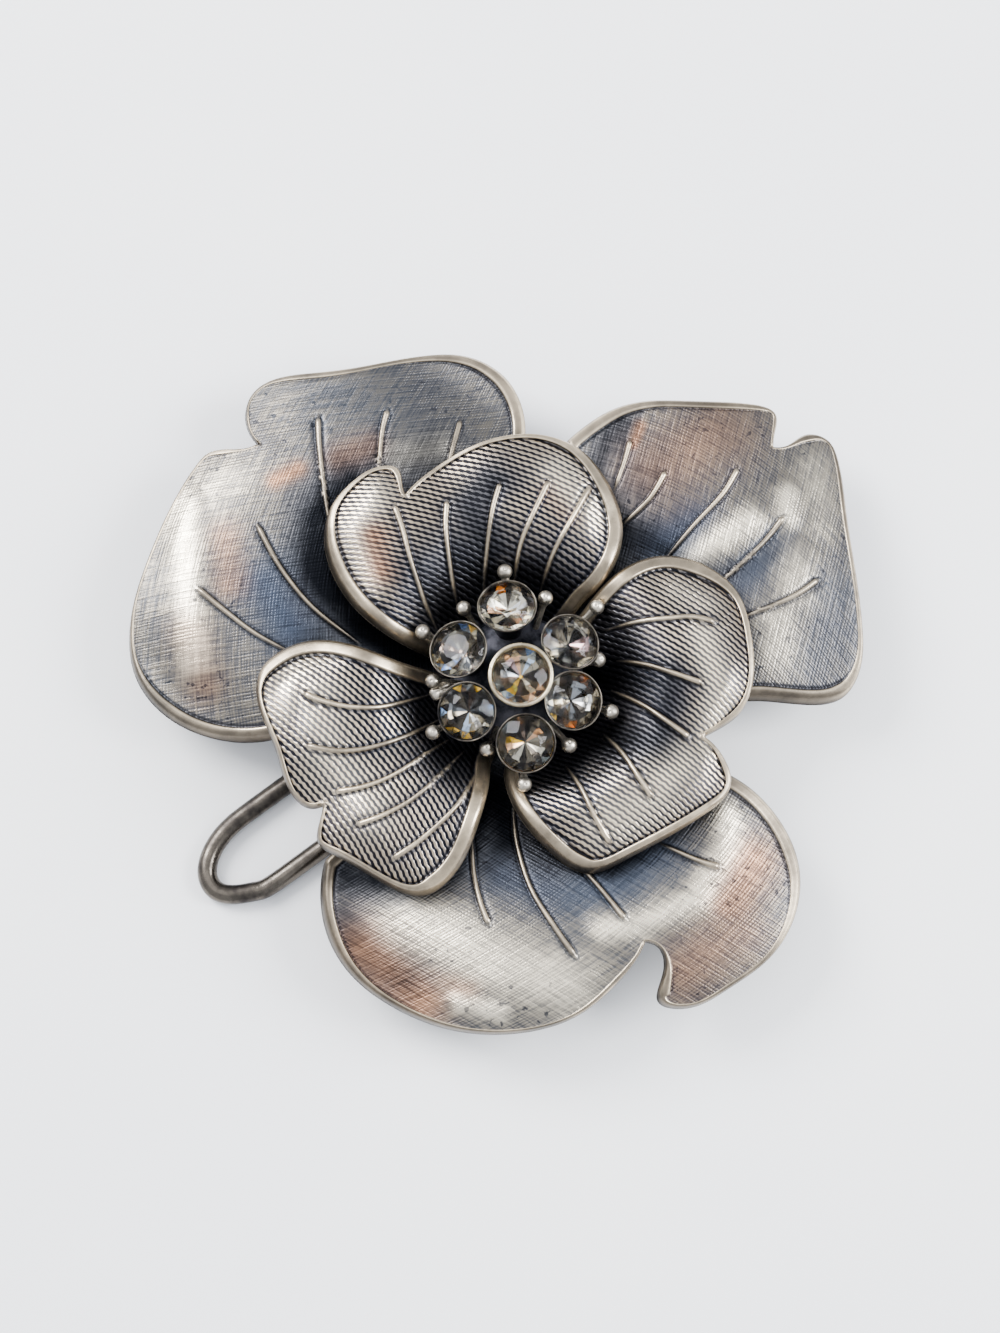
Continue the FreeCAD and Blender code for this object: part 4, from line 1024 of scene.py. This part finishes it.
def add_stamen(node, seed):
    """A ball with small dents and a pit on its top, on a short round post."""
    verts, _ = cad_arrays(node)
    top = verts[:, 2].max()
    cap = verts[verts[:, 2] > top - 0.25]
    centre = np.array([cap[:, 0].mean(), cap[:, 1].mean(), top - BALL_RADIUS])
    foot = verts[verts[:, 2] < verts[:, 2].min() + 0.7].mean(0)
    bits = np.random.default_rng(seed)
    dents = bits.normal(0, 1, (5, 3))
    dents /= np.linalg.norm(dents, axis=1)[:, None]
    pit = np.array([0.15 * bits.normal(), 0.15 * bits.normal(), 1.0])
    pit /= np.linalg.norm(pit)

    def dented(out, lat, lon):
        r = BALL_RADIUS - 0.09 * math.exp(-((1 - out @ pit) / 0.012))
        return out * (r - sum(0.02 * math.exp(-((1 - out @ dent) / 0.05)) for dent in dents))

    points, faces = ball_mesh(centre, 26, 40, dented)
    base = len(points)
    reach = centre - foot
    side, up, axis = frame_axes(reach)
    length = np.linalg.norm(reach) - 0.55       # the post ends inside the ball
    levels, sides = 8, 20
    for i in range(levels + 1):
        t = i / levels
        r = POST_RADIUS + 0.12 * math.exp(-((1 - t) / 0.06) ** 2)
        for j in range(sides):
            a = 2 * math.pi * j / sides
            points.append(tuple(foot + axis * (length * t)
                                + (side * math.cos(a) + up * math.sin(a)) * r))
    faces += [face[::-1] for face in ring_faces(levels, sides, base)]
    finish_piece(new_object("ball_" + node, points, faces), bead_metal, "bead_metal", node)


for k in range(1, 13):
    add_stamen("stamen_%02d" % k, k)


# ------------------------------------------------------------------ plain metal pieces
def reskin(node, material, slot_name, bevel=0.0):
    """Smooth-shaded copy of a CAD node with softened edges."""
    verts, tris = cad_arrays(node)
    obj = new_object("body_" + node, verts, [tuple(int(i) for i in t) for t in tris])
    obj.data.set_sharp_from_angle(angle=math.radians(32))
    if bevel:
        edge = obj.modifiers.new("edge", "BEVEL")
        edge.width = bevel
        edge.segments = 2
        edge.limit_method = "ANGLE"
        edge.angle_limit = math.radians(40)
    return finish_piece(obj, material, slot_name, node)


def add_solder():
    """The lump of solder on the cluster's edge, between two of the inner petals."""
    cups = [np.array(SEATS["stone_%d" % k][0]) for k in (5, 6)]
    middle = (cups[0] + cups[1]) / 2
    out = middle[:2] - [AXIS_X, AXIS_Y]
    out /= np.hypot(*out)
    centre = np.array([middle[0] + out[0] * 2.2, middle[1] + out[1] * 2.2, middle[2] - 2.6])

    def lumpy(out, lat, lon):
        swell = 1 + 0.10 * math.sin(3 * lon + 1) * math.sin(2 * lat) + 0.06 * math.cos(5 * lon)
        return swell * out * np.array([1.15, 0.8, 0.55])

    lump = new_object("solder_lump", *ball_mesh(centre, 18, 28, lumpy))
    finish_piece(lump, bead_metal, "bead_metal")


reskin("cluster_base", black_metal, "dark_oxide")
add_solder()
reskin("hair_fork", wire_metal, "fork_wire")
reskin("back_plate", plate_metal, "plate_metal", 0.00015)
reskin("fork_saddle", plate_metal, "plate_metal", 0.00012)
reskin("centre_rivet", plate_metal, "plate_metal", 0.00008)


# ------------------------------------------------------------------ floor, light, camera
def build_floor():
    mesh = bpy.data.meshes.new("floor")
    half, z = 0.6, -0.00002
    mesh.from_pydata([(-half, -half, z), (half, -half, z), (half, half, z), (-half, half, z)], [],
                     [(0, 1, 2, 3)])
    obj = bpy.data.objects.new("floor", mesh)
    bpy.context.scene.collection.objects.link(obj)
    s = Shader("pale_floor")
    cloud = s.noise(14.0, 4.0, 0.5)
    colour = s.mix(s.step(cloud, 0.4, 0.65), (0.84, 0.845, 0.87), (0.88, 0.882, 0.89))
    obj.data.materials.append(s.finish(Base_Color=colour, Roughness=0.6))
    return obj


ROLL = math.radians(36.6)       # how far the picture's upright is turned from the frame's +Y
PICTURE_RATIO = 1.333           # height of the picture over its width


def area_light(name, photo_x, photo_y, height, size, power, colour=(1, 1, 1), target=(0, 0, 0.008)):
    """A soft box placed in the picture's own directions: right, up and out of the floor."""
    x = photo_x * math.cos(ROLL) + photo_y * math.sin(ROLL)
    y = -photo_x * math.sin(ROLL) + photo_y * math.cos(ROLL)
    data = bpy.data.lights.new(name, "AREA")
    data.shape = "RECTANGLE"
    data.size, data.size_y = size
    data.energy = power
    data.color = colour
    obj = bpy.data.objects.new(name, data)
    bpy.context.scene.collection.objects.link(obj)
    obj.location = (x, y, height)
    direction = Vector(target) - obj.location
    obj.rotation_euler = direction.to_track_quat("-Z", "Y").to_euler()
    return obj


def build_world():
    world = bpy.data.worlds.new("studio")
    bpy.context.scene.world = world
    world.use_nodes = True
    world.node_tree.nodes["Background"].inputs[0].default_value = (0.80, 0.84, 0.90, 1)
    world.node_tree.nodes["Background"].inputs[1].default_value = 1.6


def build_camera():
    """Looks down from the lower side of the picture, twelve degrees off the flower's axis."""
    tilt = math.radians(78.0)
    right = Vector((math.cos(ROLL), -math.sin(ROLL), 0))
    photo_up = Vector((math.sin(ROLL), math.cos(ROLL), 0))
    ahead = photo_up * math.cos(tilt) - Vector((0, 0, 1)) * math.sin(tilt)
    up = photo_up * math.sin(tilt) + Vector((0, 0, 1)) * math.cos(tilt)
    distance, wide = 0.260, 0.0945
    aim = Vector((FLOWER.x * MM, FLOWER.y * MM, 0.0112))
    # the cluster sits a little right of and below the middle of the picture
    aim -= right * (0.017 * wide) - up * (0.004 * wide)
    camera = bpy.data.cameras.new("camera")
    camera.sensor_width = 36.0
    camera.lens = camera.sensor_width * distance / (wide * PICTURE_RATIO)
    camera.clip_start, camera.clip_end = 0.01, 5.0
    obj = bpy.data.objects.new("camera", camera)
    bpy.context.scene.collection.objects.link(obj)
    obj.matrix_world = Matrix.Translation(aim - ahead * distance) @ Matrix(
        (right, up, -ahead)).transposed().to_4x4()
    bpy.context.scene.camera = obj


build_floor()
build_world()
area_light("key", -0.36, 0.26, 0.40, (0.30, 0.30), 8.0)
area_light("top", -0.10, 0.10, 0.65, (0.60, 0.40), 1.2)
area_light("fill", 0.42, 0.02, 0.30, (0.24, 0.34), 6.5, (0.96, 0.98, 1.0))
build_camera()
